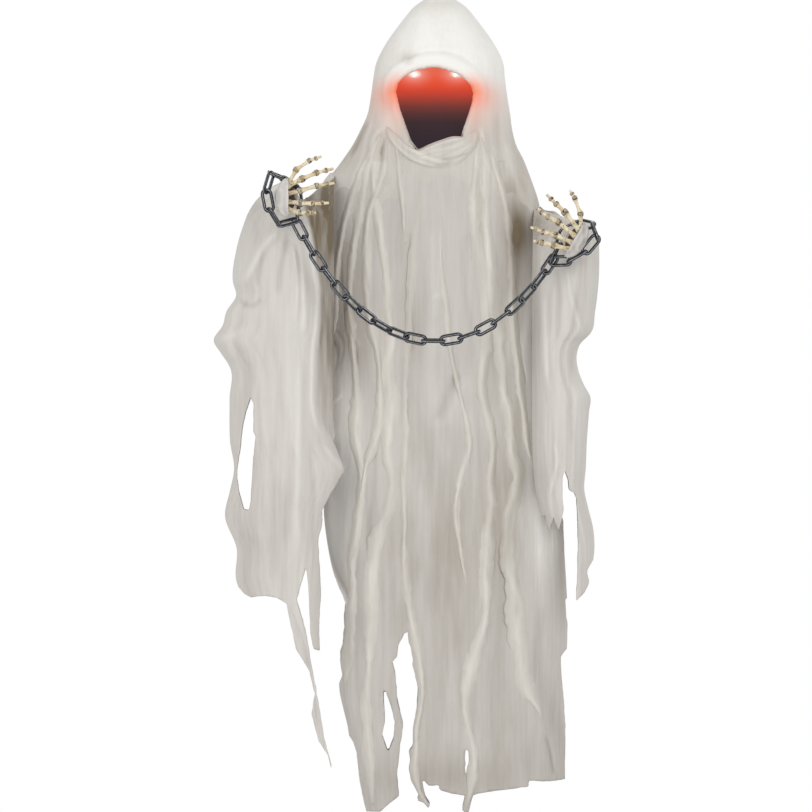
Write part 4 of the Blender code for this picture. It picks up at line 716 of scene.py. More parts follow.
def rod(path, radii, sides, hint=(0.0, 1.0, 0.0), squash=1.0, tints=0.0, closed=False):
    """A round bar along a path: circles square to it, with closed ends unless it is a loop.

    Its tint is one value, one for each place of the path, or one for each place of the grid.
    """
    path = np.asarray(path, float)
    radii = np.broadcast_to(radii, len(path)).astype(float)
    if closed:
        way = np.roll(path, -1, axis=0) - np.roll(path, 1, axis=0)
    else:
        way = np.gradient(path, axis=0)
    way /= np.linalg.norm(way, axis=1)[:, None]
    side = np.cross(way, np.asarray(hint, float))
    side /= np.linalg.norm(side, axis=1)[:, None]
    up = np.cross(side, way)
    turn = np.linspace(0, 2 * math.pi, sides + 1)[None, :, None]
    ring = side[:, None] * np.cos(turn) + up[:, None] * np.sin(turn) * squash
    points = path[:, None] + ring * radii[:, None, None]
    tints = np.asarray(tints, float)
    if tints.ndim < 2:
        tints = np.broadcast_to(tints, len(path))[:, None]
    tints = np.broadcast_to(tints, (len(path), sides + 1))
    if closed:
        points = np.concatenate([points, points[:1]])
        tints = np.concatenate([tints, tints[:1]])
    else:
        ends = [np.broadcast_to(path[n], (1, sides + 1, 3)) for n in (0, -1)]
        points = np.concatenate([ends[0], points, ends[1]])
        tints = np.concatenate([tints[:1], tints, tints[-1:]])
    return part(points, tints=tints)


# Looks

EVEN = (1.0, 1.0, 1.0)
# Cloth colours: plain; pale, mixed in for painted light and paler strands; brown, mixed in for painted
# shade and darker strands
PLAIN, PALE, BROWN = (0.605, 0.575, 0.530), (0.91, 0.90, 0.87), (0.195, 0.155, 0.105)
# The lamps' red light painted on the cloth: the colour it turns and its glow
RED_LIT_CLOTH, RED_LIGHT = (0.86, 0.26, 0.15), (0.62, 0.13, 0.06)
IVORY, YELLOWED, BROWN_WASH = (0.84, 0.78, 0.60), (0.66, 0.50, 0.28), (0.036, 0.018, 0.010)
# The chain's black and the grey of its painted highlights
CHAIN_BLACK, CHAIN_HIGHLIGHT = (0.006, 0.007, 0.010), (0.42, 0.46, 0.52)
HALO_PINK, LAMP_WHITE = (0.86, 0.30, 0.24), (1.0, 0.93, 0.90)


def new_look(name, roughness, metallic=0.0, **settings):
    """A material with its shader's own values."""
    look = bpy.data.materials.new(name)
    look.use_nodes = True
    shader = look.node_tree.nodes["Principled BSDF"]
    shader.inputs["Roughness"].default_value = roughness
    shader.inputs["Metallic"].default_value = metallic
    for key, value in settings.items():
        shader.inputs[key.replace("_", " ")].default_value = value
    return look, look.node_tree, shader


def add(tree, kind, settings=None, **sockets):
    """A node with its settings, and its sockets set or joined."""
    node = tree.nodes.new(kind)
    for key, value in (settings or {}).items():
        setattr(node, key, value)
    for key, value in sockets.items():
        socket = node.inputs[key.replace("_", " ")]
        if isinstance(value, bpy.types.NodeSocket):
            tree.links.new(value, socket)
        else:
            socket.default_value = value
    return node


def mixed(tree, share, first, second):
    """Two colours blended by a share."""
    node = tree.nodes.new("ShaderNodeMix")
    node.data_type = "RGBA"
    for socket, value in zip((node.inputs[n] for n in (0, 6, 7)), (share, first, second)):
        if isinstance(value, bpy.types.NodeSocket):
            tree.links.new(value, socket)
        elif socket.type == "RGBA":
            socket.default_value = (*value, 1.0)
        else:
            socket.default_value = value
    return node.outputs[2]


def mapped(tree, source, scale):
    """Object or weave coordinates stretched by a scale."""
    coordinates = tree.nodes.new("ShaderNodeTexCoord").outputs[source]
    return add(tree, "ShaderNodeMapping", Vector=coordinates, Scale=scale).outputs["Vector"]


def noise(tree, source, scale, size, detail=3.0):
    """Noise from 0 to 1 over stretched coordinates."""
    place = mapped(tree, source, scale)
    return add(tree, "ShaderNodeTexNoise", Vector=place, Scale=size, Detail=detail).outputs["Fac"]


def ranged(tree, value, low, high, to_low=0.0, to_high=1.0):
    """A value carried from one range to another."""
    node = add(
        tree, "ShaderNodeMapRange", Value=value,
        From_Min=low, From_Max=high, To_Min=to_low, To_Max=to_high,
    )
    return node.outputs["Result"]


def summed(tree, *values, operation="ADD"):
    """Several values as one: their sum, or what another operation makes of them in turn."""
    total = values[0]
    for value in values[1:]:
        node = add(tree, "ShaderNodeMath", {"operation": operation}, Value=total)
        tree.links.new(value, node.inputs[1])
        total = node.outputs[0]
    return total


def mark(tree, name):
    """One of a piece's own marks: its tint or its glow."""
    return add(tree, "ShaderNodeAttribute", {"attribute_name": name}).outputs["Fac"]


def raised(tree, shader, height, strength, distance):
    """Small relief over a whole surface."""
    relief = add(tree, "ShaderNodeBump", Height=height, Strength=strength, Distance=distance)
    tree.links.new(relief.outputs["Normal"], shader.inputs["Normal"])


def gauze_look(name, plain, pale, brown, strand, crease, weave=0.10, glow=0.0):
    """Loose woven gauze: fine strands down the cloth, painted shade and light by tint, creases and a fine
    weave.
    """
    look, tree, shader = new_look(
        name, 0.92, Sheen_Weight=0.10, Sheen_Roughness=0.5, Specular_IOR_Level=0.15
    )
    lines = [
        ranged(tree, noise(tree, "Object", (1.0, 1.0, long), size, detail), 0.34, 0.66, strand, -strand)
        for long, size, detail in ((0.055, 120.0, 5.0), (0.10, 32.0, 4.0))
    ]
    clouds = ranged(tree, noise(tree, "Object", (1.0, 1.0, 0.45), 9.0), 0.32, 0.68, -0.07, 0.09)
    # The tint mark paints brown shade where plus and paler light where minus, over the strands' tone
    painted_shade_and_tone = summed(tree, *lines, clouds, mark(tree, "tint"))
    colour = mixed(tree, ranged(tree, painted_shade_and_tone, 0.0, 1.0), plain, brown)
    colour = mixed(tree, ranged(tree, painted_shade_and_tone, 0.0, -1.0), colour, pale)
    # The lamps' red light painted on the cloth: its colour mixed in and a red glow
    if glow:
        lamp_glow = mark(tree, "glow")
        colour = mixed(tree, lamp_glow, colour, RED_LIT_CLOTH)
        lit = mixed(tree, lamp_glow, (0.0, 0.0, 0.0), RED_LIGHT)
        tree.links.new(lit, shader.inputs["Emission Color"])
        shader.inputs["Emission Strength"].default_value = glow
    tree.links.new(colour, shader.inputs["Base Color"])
    threads = []
    for axis in ("X", "Y"):
        wave = add(
            tree, "ShaderNodeTexWave", {"bands_direction": axis}, Vector=mapped(tree, "UV", EVEN),
            Scale=95.0, Distortion=1.2, Detail=1.0,
        )
        threads.append(wave.outputs["Fac"])
    crushed = noise(tree, "UV", (1.0, 0.16, 1.0), 75.0, 5.0)
    first = add(tree, "ShaderNodeBump", Height=crushed, Strength=crease, Distance=0.006)
    second = add(
        tree, "ShaderNodeBump", Height=summed(tree, *threads), Strength=weave, Distance=0.0006,
        Normal=first.outputs["Normal"],
    )
    tree.links.new(second.outputs["Normal"], shader.inputs["Normal"])
    return look


def plastic_look(name, colour, dark, roughness, metallic=0.0, **settings):
    """Moulded or plated surface with faint mottling and fine bumps."""
    look, tree, shader = new_look(name, roughness, metallic, **settings)
    mottle = ranged(tree, noise(tree, "Object", EVEN, 60.0), 0.35, 0.70)
    tree.links.new(mixed(tree, mottle, colour, dark), shader.inputs["Base Color"])
    raised(tree, shader, noise(tree, "Object", EVEN, 720.0, 2.0), 0.05, 0.001)
    rough = ranged(tree, mottle, 0.0, 1.0, roughness * 0.85, min(roughness * 1.2, 1.0))
    tree.links.new(rough, shader.inputs["Roughness"])
    return look


def bone_look():
    """Aged bone: ivory with yellow patches, brown wash in the joints and in fine pits."""
    look, tree, shader = new_look("aged_bone", 0.55, Specular_IOR_Level=0.35)
    patches = ranged(tree, noise(tree, "Object", EVEN, 70.0), 0.36, 0.66)
    colour = mixed(tree, patches, IVORY, YELLOWED)
    pits = noise(tree, "Object", EVEN, 190.0, 4.0)
    wash = summed(tree, ranged(tree, pits, 0.52, 0.66, 0.0, 0.75), mark(tree, "tint"))
    colour = mixed(tree, ranged(tree, wash, 0.0, 1.0), colour, BROWN_WASH)
    tree.links.new(colour, shader.inputs["Base Color"])
    raised(tree, shader, pits, 0.35, 0.0012)
    return look


def chain_look():
    """Black gunmetal coat, with painted grey highlights along the faces and edges of the links, and small
    dents.
    """
    look, tree, shader = new_look("black_chain", 0.30, 0.60, Coat_Weight=0.5, Coat_Roughness=0.10)
    highlight_breakup = noise(tree, "Object", EVEN, 150.0, 4.0)
    painted_highlight = ranged(tree, summed(tree, highlight_breakup, mark(tree, "tint")), 0.95, 1.75)
    tree.links.new(mixed(tree, painted_highlight, CHAIN_BLACK, CHAIN_HIGHLIGHT), shader.inputs["Base Color"])
    tree.links.new(ranged(tree, painted_highlight, 0.0, 1.0, 0.24, 0.42), shader.inputs["Roughness"])
    raised(tree, shader, noise(tree, "Object", EVEN, 300.0), 0.3, 0.001)
    return look


def bowl_look():
    """The face's dark hollow: red light from the brow fading down, and a halo at each lamp."""
    look, tree, shader = new_look("lit_hollow", 0.85, Specular_IOR_Level=0.1)
    heights = add(tree, "ShaderNodeSeparateXYZ", Vector=mapped(tree, "Object", EVEN))
    top, foot = row_height(HOLLOW_PY)
    drop = ranged(tree, heights.outputs["Z"], float(top), float(foot))
    fade = add(tree, "ShaderNodeValToRGB", Fac=drop)
    ramp = fade.color_ramp
    stops = (
        (0.00, (0.74, 0.11, 0.045)), (0.16, (0.80, 0.066, 0.014)), (0.27, (0.72, 0.058, 0.018)),
        (0.37, (0.53, 0.050, 0.026)), (0.45, (0.33, 0.042, 0.024)), (0.54, (0.17, 0.033, 0.024)),
        (0.64, (0.085, 0.024, 0.022)), (0.76, (0.036, 0.018, 0.020)), (1.00, (0.024, 0.015, 0.021)),
    )
    for place, colour in stops[1:-1]:
        ramp.elements.new(place)
    for element, (place, colour) in zip(ramp.elements, stops):
        element.position = place
        element.color = (*colour, 1.0)
    glow = mark(tree, "glow")
    warm = mixed(tree, ranged(tree, glow, 0.0, 0.55), fade.outputs["Color"], HALO_PINK)
    lit = mixed(tree, ranged(tree, glow, 0.5, 1.0), warm, LAMP_WHITE)
    tree.links.new(lit, shader.inputs["Emission Color"])
    shader.inputs["Emission Strength"].default_value = 1.0
    shader.inputs["Base Color"].default_value = (0.012, 0.010, 0.012, 1.0)
    raised(tree, shader, noise(tree, "Object", EVEN, 300.0), 0.1, 0.001)
    return look


HOOD_GAUZE = gauze_look("hood_gauze", PLAIN, PALE, BROWN, 0.05, 0.10, 0.08, glow=0.22)
ROBE_GAUZE = gauze_look("robe_gauze", (0.600, 0.574, 0.540), PALE, BROWN, 0.055, 0.28)
SLEEVE_GAUZE = gauze_look("sleeve_gauze", (0.655, 0.628, 0.595), PALE, BROWN, 0.06, 0.25)
STRIP_GAUZE = gauze_look(
    "strip_gauze", (0.605, 0.578, 0.530), (0.88, 0.86, 0.80), BROWN, 0.07, 0.30, glow=0.22
)
CUFF_GAUZE = gauze_look("cuff_gauze", (0.60, 0.58, 0.56), PALE, (0.26, 0.22, 0.19), 0.15, 0.40, 0.20)
WADDING = gauze_look("arm_wadding", (0.66, 0.64, 0.60), PALE, (0.40, 0.36, 0.30), 0.15, 0.50, 0.20)
BONE = bone_look()
CHAIN = chain_look()
BOWL = bowl_look()


# Figure's outline


def body_shape(k):
    """Height, half width on the right and left, and depth of the outline at row k."""
    table = np.array(BODY_ROWS)
    drop, right, left, deep = (through(k, np.arange(len(table)), table[:, n]) for n in range(4))
    hood = np.minimum(drop / HOOD_SHARE, 1.0)
    below = np.maximum(drop - HOOD_SHARE, 0.0) / (1.0 - HOOD_SHARE)
    z = CROWN_Z - hood * HOOD_DROP - below * (BODY_DROP - HOOD_DROP)
    return z, right * HALF_WIDTH, left * HALF_WIDTH, deep * HALF_DEPTH


FINE_ROWS = np.linspace(1, len(BODY_ROWS) - 1, FINE_STEPS)
FINE_HEIGHTS = np.minimum.accumulate(body_shape(FINE_ROWS)[0])


def row_at(z):
    """The outline's row at a height."""
    return np.interp(-np.asarray(z, float), -FINE_HEIGHTS, FINE_ROWS)


def fold_depth(z):
    """How deep the cloth's folds are: none on the head, full from the chest down."""
    return FOLD_DEPTH * (0.22 * smooth(-z, 0.33, 0.46) + 0.78 * smooth(-z, 0.45, 0.95))


def body_point(x_share, z, front, sink, seed):
    """The cloth's x and y: a share of the half width and an ellipse's depth, with folds added."""
    _, right, left, deep = body_shape(row_at(z))
    x = np.where(x_share > 0, left, right) * x_share
    across = np.sqrt(np.clip(1 - x_share**2, 0, 1))
    fold = fold_depth(z) * folds(x, z, seed) * across**0.6
    return x, -front * (deep * across + fold - sink * across)


def front_at(x, z):
    """The front of the cloth at a place seen from the front."""
    _, right, left, _ = body_shape(row_at(z))
    share = np.clip(x / np.where(x > 0, left, right), -1, 1)
    return body_point(share, z, 1, 0.0, FRONT_SEED)[1]


def robe_sheet(name, front, seed):
    """Half of the robe: half ellipses down the figure with folds, cut by the ragged hem."""
    z = np.linspace(ROBE_TOP_Z, ROBE_FOOT_Z, int((ROBE_TOP_Z - ROBE_FOOT_Z) / CELL))[:, None]
    columns = 122
    turn = np.linspace(0, math.pi, columns)[None, :]
    z, share = np.broadcast_arrays(z, np.cos(turn))
    x, y = body_point(share, z, front, SINK, seed)
    points = np.stack([x, y, z], axis=2)
    hem = smooth(-z, 1.2, 1.85)
    points[..., 0] += hem * 0.004 * crinkle(x / 0.05, z / 0.08, seed + 4)
    field = cut_field(points, ROBE_CUT, ROBE_HOLES, 0.0016, seed)
    rise, shade = line_marks(x, z, ROBE_LINES)
    points[..., 1] -= front * rise
    # Painted shade and light: the spots and the drawn folds, fold crests paler and troughs darker, all
    # weaker on the back; darker towards the bottom
    tint = (spots(x, z, ROBE_SHADES) + shade) * (1.0 if front > 0 else 0.4)
    tint = tint - 0.22 * folds(x, z, seed) * smooth(-z, 0.5, 0.9) + 0.10 * smooth(-z, 0.95, 1.45)
    return cloth(name, [part(points, tint, field=field)], ROBE_GAUZE)


def face_glow(x, z):
    """Red light on the cloth: most at the opening's edge beside the lamps, fading out and down."""
    px, py = pixels(x, z)
    gap = np.maximum(-edge_distance(x, z, pixel_outline(FACE_OPENING)) / PIXEL, 0.0)
    sides = smooth(np.abs(px - GLOW_PX), *GLOW_SIDES)
    lean = py - 0.35 * np.maximum(gap - 6.0, 0.0)
    fall = np.interp(lean, GLOW_ROWS, GLOW_STRENGTHS)
    top, foot = RIM_GLOW_PY
    rim = 0.16 * np.exp(-((gap / 2.6) ** 2)) * smooth(-py, -foot, -top)
    return np.clip(sides * fall * np.exp(-((gap / 19.0) ** 1.6)) + rim, 0, 1)


def hood():
    """The hood: ellipses down from the crown, rolled in at the face and bulging over the brow."""
    columns = 220
    fine = np.linspace(0, HOOD_LAST_ROW, FINE_STEPS)
    z, right, _, deep = body_shape(fine)
    run = np.concatenate([[0], np.cumsum(np.hypot(np.diff(z), np.diff((right + deep) / 2)))])
    rows = np.interp(np.linspace(0, run[-1], int(run[-1] / HOOD_CELL)), run, fine)[:, None]
    turn = np.linspace(-math.pi / 2, 3 * math.pi / 2, columns)[None, :]
    z, right, left, deep = (np.broadcast_to(v, (len(rows), columns)) for v in body_shape(rows))
    wide = np.where(np.cos(turn) > 0, left, right)
    x = wide * np.cos(turn)
    side = np.sin(turn)
    fold = fold_depth(z) * folds(x, z, FRONT_SEED) * np.abs(side) ** 0.6
    shoulders = smooth(-z, 0.20, 0.34) * smooth(z, -0.44, -0.37)
    crush = 0.0016 * crinkle(x / 0.035, z / 0.10, 21) * shoulders
    reach = deep + crush
    gap = -edge_distance(x, z, pixel_outline(FACE_OPENING))
    gap = np.where(side > 0, gap, 1.0)
    above = smooth(z, *row_height(BROW_PY))
    bulge = BROW_BULGE * smooth(BROW_REACH - gap, 0.0, 0.009) * above
    roll = RIM_ROLL * (1 - smooth(gap, -0.002, 0.013)) ** 2
    rise, shade = line_marks(x, z, HOOD_LINES)
    y = -side * reach - np.where(side > 0, fold + bulge - roll + rise, -fold)
    points = np.stack([x, y, z], axis=2)
    hem = cut_field(points, HOOD_CUT, (), 0.0015, 5)
    points[..., 1] += side * 0.0036 * (1 - smooth(hem, 0.0, 0.032))
    field = np.minimum(hem, gap + 0.0006 * crinkle(x / 0.006, z / 0.006, 8))
    # Painted light and shade: the brow band over the opening paler, as lit by the lamps, and the head paler
    # up to the crown, as lit from above; the spots and the drawn folds, and fold crests paler and troughs
    # darker
    brow = smooth(BROW_REACH - gap, 0.0, 0.012) * above * (side > 0)
    painted_shade_and_tone = spots(x, z, HOOD_SHADES) * smooth(side, -0.35, 0.0)
    tint = painted_shade_and_tone + np.where(side > 0, shade, 0.0) - 0.55 * brow - 0.92 * smooth(z, *row_height(CROWN_LIGHT_PY))
    tint = tint - 0.2 * folds(x, z, FRONT_SEED) * smooth(-z, 0.33, 0.46)
    glow = np.where(side > 0, face_glow(x, z), 0.0)
    return cloth("hood_gauze_cover", [part(points, tint, glow, field)], HOOD_GAUZE)


def face_bowl():
    """The dark hollow: the opening's outline shrunk to a point, sinking as a bowl."""
    outline = pixel_outline(FACE_OPENING)
    loop = np.concatenate([outline, outline[:1]])
    centre = outline.mean(axis=0)
    ring = path_through(loop, 97)
    ring[-1] = ring[0]
    share = np.linspace(BOWL_OVERLAP, 0.0, 40)[:, None]
    x = centre[0] + (ring[None, :, 0] - centre[0]) * share
    z = centre[1] + (ring[None, :, 1] - centre[1]) * share
    rim = front_at(x[0], z[0])[None, :]
    sink = BOWL_START + BOWL_DEPTH * (1 - np.clip(share / BOWL_OVERLAP, 0, 1) ** 2.6)
    middle = rim.mean()
    y = middle + (rim - middle) * share / BOWL_OVERLAP + sink
    y = np.minimum(np.broadcast_to(y, x.shape), BOWL_FRONT_Y + BOWL_CHIN * smooth(-z, 0.246, 0.32))
    points = np.stack([x, y, z], axis=2)
    px, py = pixels(x, z)
    glow = np.zeros(x.shape)
    for cx, cy in LAMPS:
        near = np.hypot((px - cx) / 1.6, py - cy)
        glow = glow + 0.62 * np.exp(-((near / 3.4) ** 2)) + 0.52 * np.exp(-((near / 8.5) ** 2))
    parts = [part(points, 0.0, np.clip(glow, 0, 1))]
    return cloth("face_hollow", parts, BOWL, thickness=BOWL_WALL)


def sleeve(name, rows, ridge, cut, holes, wrist, away, seed, foot_py):
    """A hanging sleeve: each thread falls from the ridge, swings out and joins the section below.

    A thread's turn about the sleeve picks its place on the ridge. At a depth d under the ridge
    it has gone sin(p) of the way out to the section, where d is the arm's radius times 1 - cos(p).
    """
    table = np.array(rows, float)
    columns = 210
    turn = np.linspace(-math.pi * 0.72, math.pi * 1.28, columns)[None, :]
    home = -math.pi * 0.22
    front = math.pi / 2
    inner = smooth((turn - home) / (front - home), 0.0, 1.0)
    outer = 1 - smooth((turn - front) / (0.60 * math.pi), 0.0, 1.0)
    way = np.where(turn < home, 0.0, np.where(turn < front, inner, outer))
    line = path_through(ridge, 200)
    tops = np.stack([np.interp(way, np.linspace(0, 1, 200), line[:, n]) for n in range(3)], axis=2)
    bend = np.broadcast_to(np.linspace(0, math.pi / 2, 22)[:, None], (22, columns))
    fall = tops[..., 2] - row_height(foot_py)
    straight = np.linspace(0, 1, int(fall.max() / CELL))[1:, None]
    hanging = SLEEVE_ROUND + straight * (fall - SLEEVE_ROUND)
    drop = np.concatenate([SLEEVE_ROUND * (1 - np.cos(bend)), hanging])
    out = np.concatenate([np.sin(bend), np.ones((len(straight), columns))])
    z = tops[..., 2] - drop
    _, py = pixels(0.0, z)
    near, far = (at(through(py, table[:, 0], table[:, n]), 0)[0] for n in (1, 2))
    deep = through(py, table[:, 0], table[:, 3])
    middle, half = (near + far) / 2, np.abs(far - near) / 2
    side = away * half * -np.cos(turn)
    x = tops[..., 0] + (middle + side - tops[..., 0]) * out
    y = tops[..., 1] + (SLEEVE_Y - deep * np.sin(turn) - tops[..., 1]) * out
    below = smooth(drop, 0.03, 0.20)
    spread = folds(turn * 0.115, z, seed, 0.045, 0.55)
    fan = folds((x - wrist[0]) / (0.35 + drop) * 0.30, z, seed + 5, 0.045, 0.6)
    growth = (0.25 + 0.75 * below) * np.sin(np.clip(out, 0, 1) * math.pi / 2)
    wave = FOLD_DEPTH * (0.75 * spread + 0.55 * fan) * growth
    y = y - wave * np.sin(turn)
    x = x + away * -np.cos(turn) * wave * 0.35
    points = np.stack([x, y, z], axis=2)
    field = cut_field(points, cut, holes, 0.0015, seed)
    mouth = np.hypot(x - ridge[-1][0], z - wrist[2]) - WRIST_RADIUS - MOUTH_GAP
    mouth = np.where(y < -0.15, mouth, 1.0)
    field = np.minimum(field, mouth)
    points[..., 1] -= 0.010 * (1 - smooth(mouth, 0.0, 0.02))
    rise, shade = line_marks(x, z, SLEEVE_LINES)
    points[..., 1] -= rise * np.clip(np.sin(turn), 0, 1)
    # Painted shade and light: the spots, fold crests paler and troughs darker, and the drawn folds on the
    # front
    tint = spots(x, z, SLEEVE_SHADES) - 0.22 * (0.7 * spread + 0.5 * fan)
    tint = tint + np.where(np.sin(turn) > 0, shade, 0.0)
    # The right sleeve's panel past its turn is painted brown, the recess's painted shade, broken up
    # unevenly
    if away > 0:
        px, py = pixels(x, z)
        edge = np.interp(py, *np.array(PANEL_EDGE).T)
        shown = smooth(py, *PANEL_IN_PY) * (1 - smooth(py, *PANEL_OUT_PY)) * (np.sin(turn) > -0.3)
        shown = shown * np.interp(py, PANEL_ROWS, PANEL_STRENGTHS)
        panel_shade_breakup = 0.8 + 0.5 * crinkle(px / 5, py / 40, 83)
        tint = tint + smooth(px - edge, 0.0, 5.0) * shown * panel_shade_breakup
    parts = [part(points, tint, field=field)]
    return cloth(name, parts, SLEEVE_GAUZE, body=None)


def strip(points, width, seed, lift, rise):
    """A crumpled ribbon along a path seen from the front, lying on the cloth behind it.

    Its section is a low cosine crown with uneven creases whose edges pass under the cloth, its
    width drifts, it narrows at both ends, and it comes out of the cloth over its first stretch.
    """
    px, py = np.asarray(points, float).T
    x, z = at(px, py)
    fall = z.max() - z.min()
    count = max(int(fall / STRIP_CELL), 20)
    route = path_through(np.stack([x, z], axis=1), count)
    way = np.gradient(route, axis=0)
    way /= np.linalg.norm(way, axis=1)[:, None]
    across = np.stack([-way[:, 1], way[:, 0]], axis=1)
    s = np.linspace(-0.5, 0.5, 13)[None, :]
    t = np.linspace(0, 1, count)[:, None]
    run = t * fall
    left = run[-1] - run
    wide = 1 + 0.34 * drift(run / 0.11, 0.0, seed) + 0.22 * drift(run / 0.035, 0.0, seed + 1)
    wide = 1.7 * width * wide * (1 + 0.16 * drift(run / 0.013, 2 * s, seed + 8))
    wide = wide * (0.30 + 0.70 * smooth(run, 0.0, 0.10)) * (0.22 + 0.78 * smooth(left, 0.0, 0.09))
    sway = 0.002 * drift(run / 0.08, 0.0, seed + 2)
    bx = route[:, None, 0] + across[:, None, 0] * (s * wide + sway)
    bz = route[:, None, 1] + across[:, None, 1] * (s * wide + sway)
    bx = bx + 0.0010 * drift(run / 0.012, s * 3, seed + 6)
    crown = np.cos(math.pi * (s + 0.16 * drift(run / 0.10, 0.0, seed + 9) * (1 - 4 * s**2))) ** 1.6
    crown = crown * smooth(run, -0.3 * rise, rise) * (0.15 + 0.85 * smooth(left, 0.0, 0.05))
    crumple = crinkle(s * 3.2 + 2.0 * drift(run / 0.15, 0.0, seed + 3), run / 0.06, seed + 4)
    bulk = 0.0019 * (1 + 0.4 * drift(run / 0.09, 0.0, seed + 5)) * np.minimum(wide / width, 1.6)
    body = (lift + UNDER + bulk + 0.0020 * crumple) * crown
    under = line_marks(bx, bz, HOOD_LINES + ROBE_LINES)[0]
    y = front_at(bx, bz) - np.maximum(under, 0.0) - body + UNDER
    # The strip's tint: painted shade and light of the spots beside it, a paler crown that is partly its
    # cream colour and partly painted highlight, crumples painted paler where they rise, and clouds of tone
    painted_shade_and_tone = np.where(bz > ROBE_TOP_Z, spots(bx, bz, HOOD_SHADES), 0.8 * spots(bx, bz, ROBE_SHADES))
    clouds = 0.10 * drift(run / 0.2, 0.0, seed + 7)
    shade = painted_shade_and_tone - 0.34 * crown - 0.36 * crumple * crown + clouds
    return part(np.stack([bx, y, bz], axis=2), shade * smooth(run, 0.0, 0.09), face_glow(bx, bz))


def cowl():
    """The gathered neck: a crescent between two picture lines, with its folds drawn along lines."""
    columns = 170
    top, foot = (path_through(pixel_outline(line), columns) for line in (COWL_TOP, COWL_FOOT))
    v = np.linspace(0, 1, 54)[:, None]
    u = np.linspace(0, 1, columns)[None, :]
    x = top[None, :, 0] * (1 - v) + foot[None, :, 0] * v
    z = top[None, :, 1] * (1 - v) + foot[None, :, 1] * v
    rise, shade = line_marks(x, z, COWL_LINES)
    fine = crinkle(u * 5 + 2 * v, v * 16 + u * 3, 37)
    ends = smooth(u, 0.0, 0.10) * smooth(1 - u, 0.0, 0.10)
    rim = 1 - smooth(v, 0.0, 0.12)
    height = 0.0022 + 0.0030 * np.sin(math.pi * v) * ends + 0.55 * rise + 0.0010 * fine
    height = height - 0.0050 * smooth(v, 0.75, 1.0) - 0.005 * (1 - ends)
    y = front_at(x, z) - height + 0.009 * rim * ends
    # Painted shade along the top edge, where it meets the hood, and painted light over the middle; the
    # drawn folds paint light and shade, and the fine crinkle paler strands
    tint = -0.02 + 0.6 * shade - 0.30 * fine + 0.22 * rim - 0.10 * np.sin(math.pi * v)
    parts = [part(np.stack([x, y, z], axis=2), tint, face_glow(x, z))]
    return cloth("neck_gauze", parts, STRIP_GAUZE)


def arm(name, route, body):
    """The padded arm: a lumpy bar along its route, fullest under the sleeve, with a round end."""
    steps = 120
    path = path_through(route, steps)
    run = np.linspace(0, 1, steps)
    radius = through(run, ARM_SHARES, ARM_RADII) * (1 + 0.03 * crinkle(run * 26, 0.0, 51))
    radius = radius * np.sqrt(np.clip(1 - smooth(run, 0.955, 1.0) ** 3 * 0.5, 0, 1))
    piece = make(name, [rod(path, radius, 28, (0.0, 0.0, 1.0))], WADDING, body)
    return piece


def hand_ways(turn):
    """The ways along and across a hand that is turned in the picture's plane, and to its front."""
    along = np.array((math.cos(turn), 0.0, math.sin(turn)))
    across = np.array((-math.sin(turn), 0.0, math.cos(turn)))
    return along, across, np.array((0.0, -1.0, 0.0))


def hand(name, palm, turn, fingers, body):
    """Bones of the hand: bars between the joints, thin in the middle and knuckled at their ends.

    The palm's web and the wrist's bones are flattened and lumpy ellipsoids.
    """
    along, across, front = hand_ways(turn)
    across = across if across[2] > 0 else -across
    parts = []
    s = np.linspace(0, 1, 22)
    ends = np.abs(2 * s - 1)
    for n, points in enumerate(fingers):
        knots = [
            palm + (along * a + across * b + front * c) * HAND_LENGTH + along * HAND_ROOT
            for a, b, c in points
        ]
        knots.insert(3, knots[2] * 0.45 + knots[3] * 0.55)
        thick = FINGER_THICK if n else THUMB_THICK
        for m, (first, second) in enumerate(zip(knots, knots[1:])):
            size = thick * BONE_SHARES[m]
            shape = size * (0.50 + 0.62 * ends**3.2) * np.sqrt(np.clip(1 - ends**16, 0.02, 1))
            if m == 3:
                shape = shape * (1 - 0.45 * smooth(s, 0.6, 1.0))
            bow = front * 0.0012 * np.sin(math.pi * s)[:, None]
            path = first + (second - first) * (0.02 + 0.96 * s)[:, None] + bow
            wash = 1.25 * smooth(ends, 0.72, 0.96) - 0.25 * smooth(1 - ends, 0.2, 0.8)
            parts.append(rod(path, shape, 12, (0.0, 1.0, 0.0), 0.9, wash))
            if m:
                knob = np.linspace(0, math.pi, 9)
                way = (second - first) / np.linalg.norm(second - first)
                ball = first + way * (-np.cos(knob) * size * 0.85)[:, None]
                round_radii = np.sin(knob).clip(0.05) * size * 0.98
                parts.append(rod(ball, round_radii, 12, (0.0, 1.0, 0.0), 1.0, 0.46))
    rows = np.linspace(0, math.pi, 26)[:, None]
    ring = np.linspace(0, 2 * math.pi, 49)[None, :]
    for reach, high, deep, lumps, wash in PALM_PARTS:
        bump = 1 + lumps * crinkle(np.cos(rows) * 5 + 7, np.sin(ring) * 4, 61) * np.sin(rows)
        a = reach / 2 * (1 - np.cos(rows)) + 0.003
        grid = palm + along * a[..., None] + (
            across * (high * np.sin(rows) ** 0.5 * np.cos(ring) * bump)[..., None]
            + front * (deep * np.sin(rows) ** 0.7 * np.sin(ring) * bump)[..., None]
        )
        parts.append(part(grid, wash))
    piece = make(name + "_bones", parts, BONE, body)
    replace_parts(piece, name)
    return piece


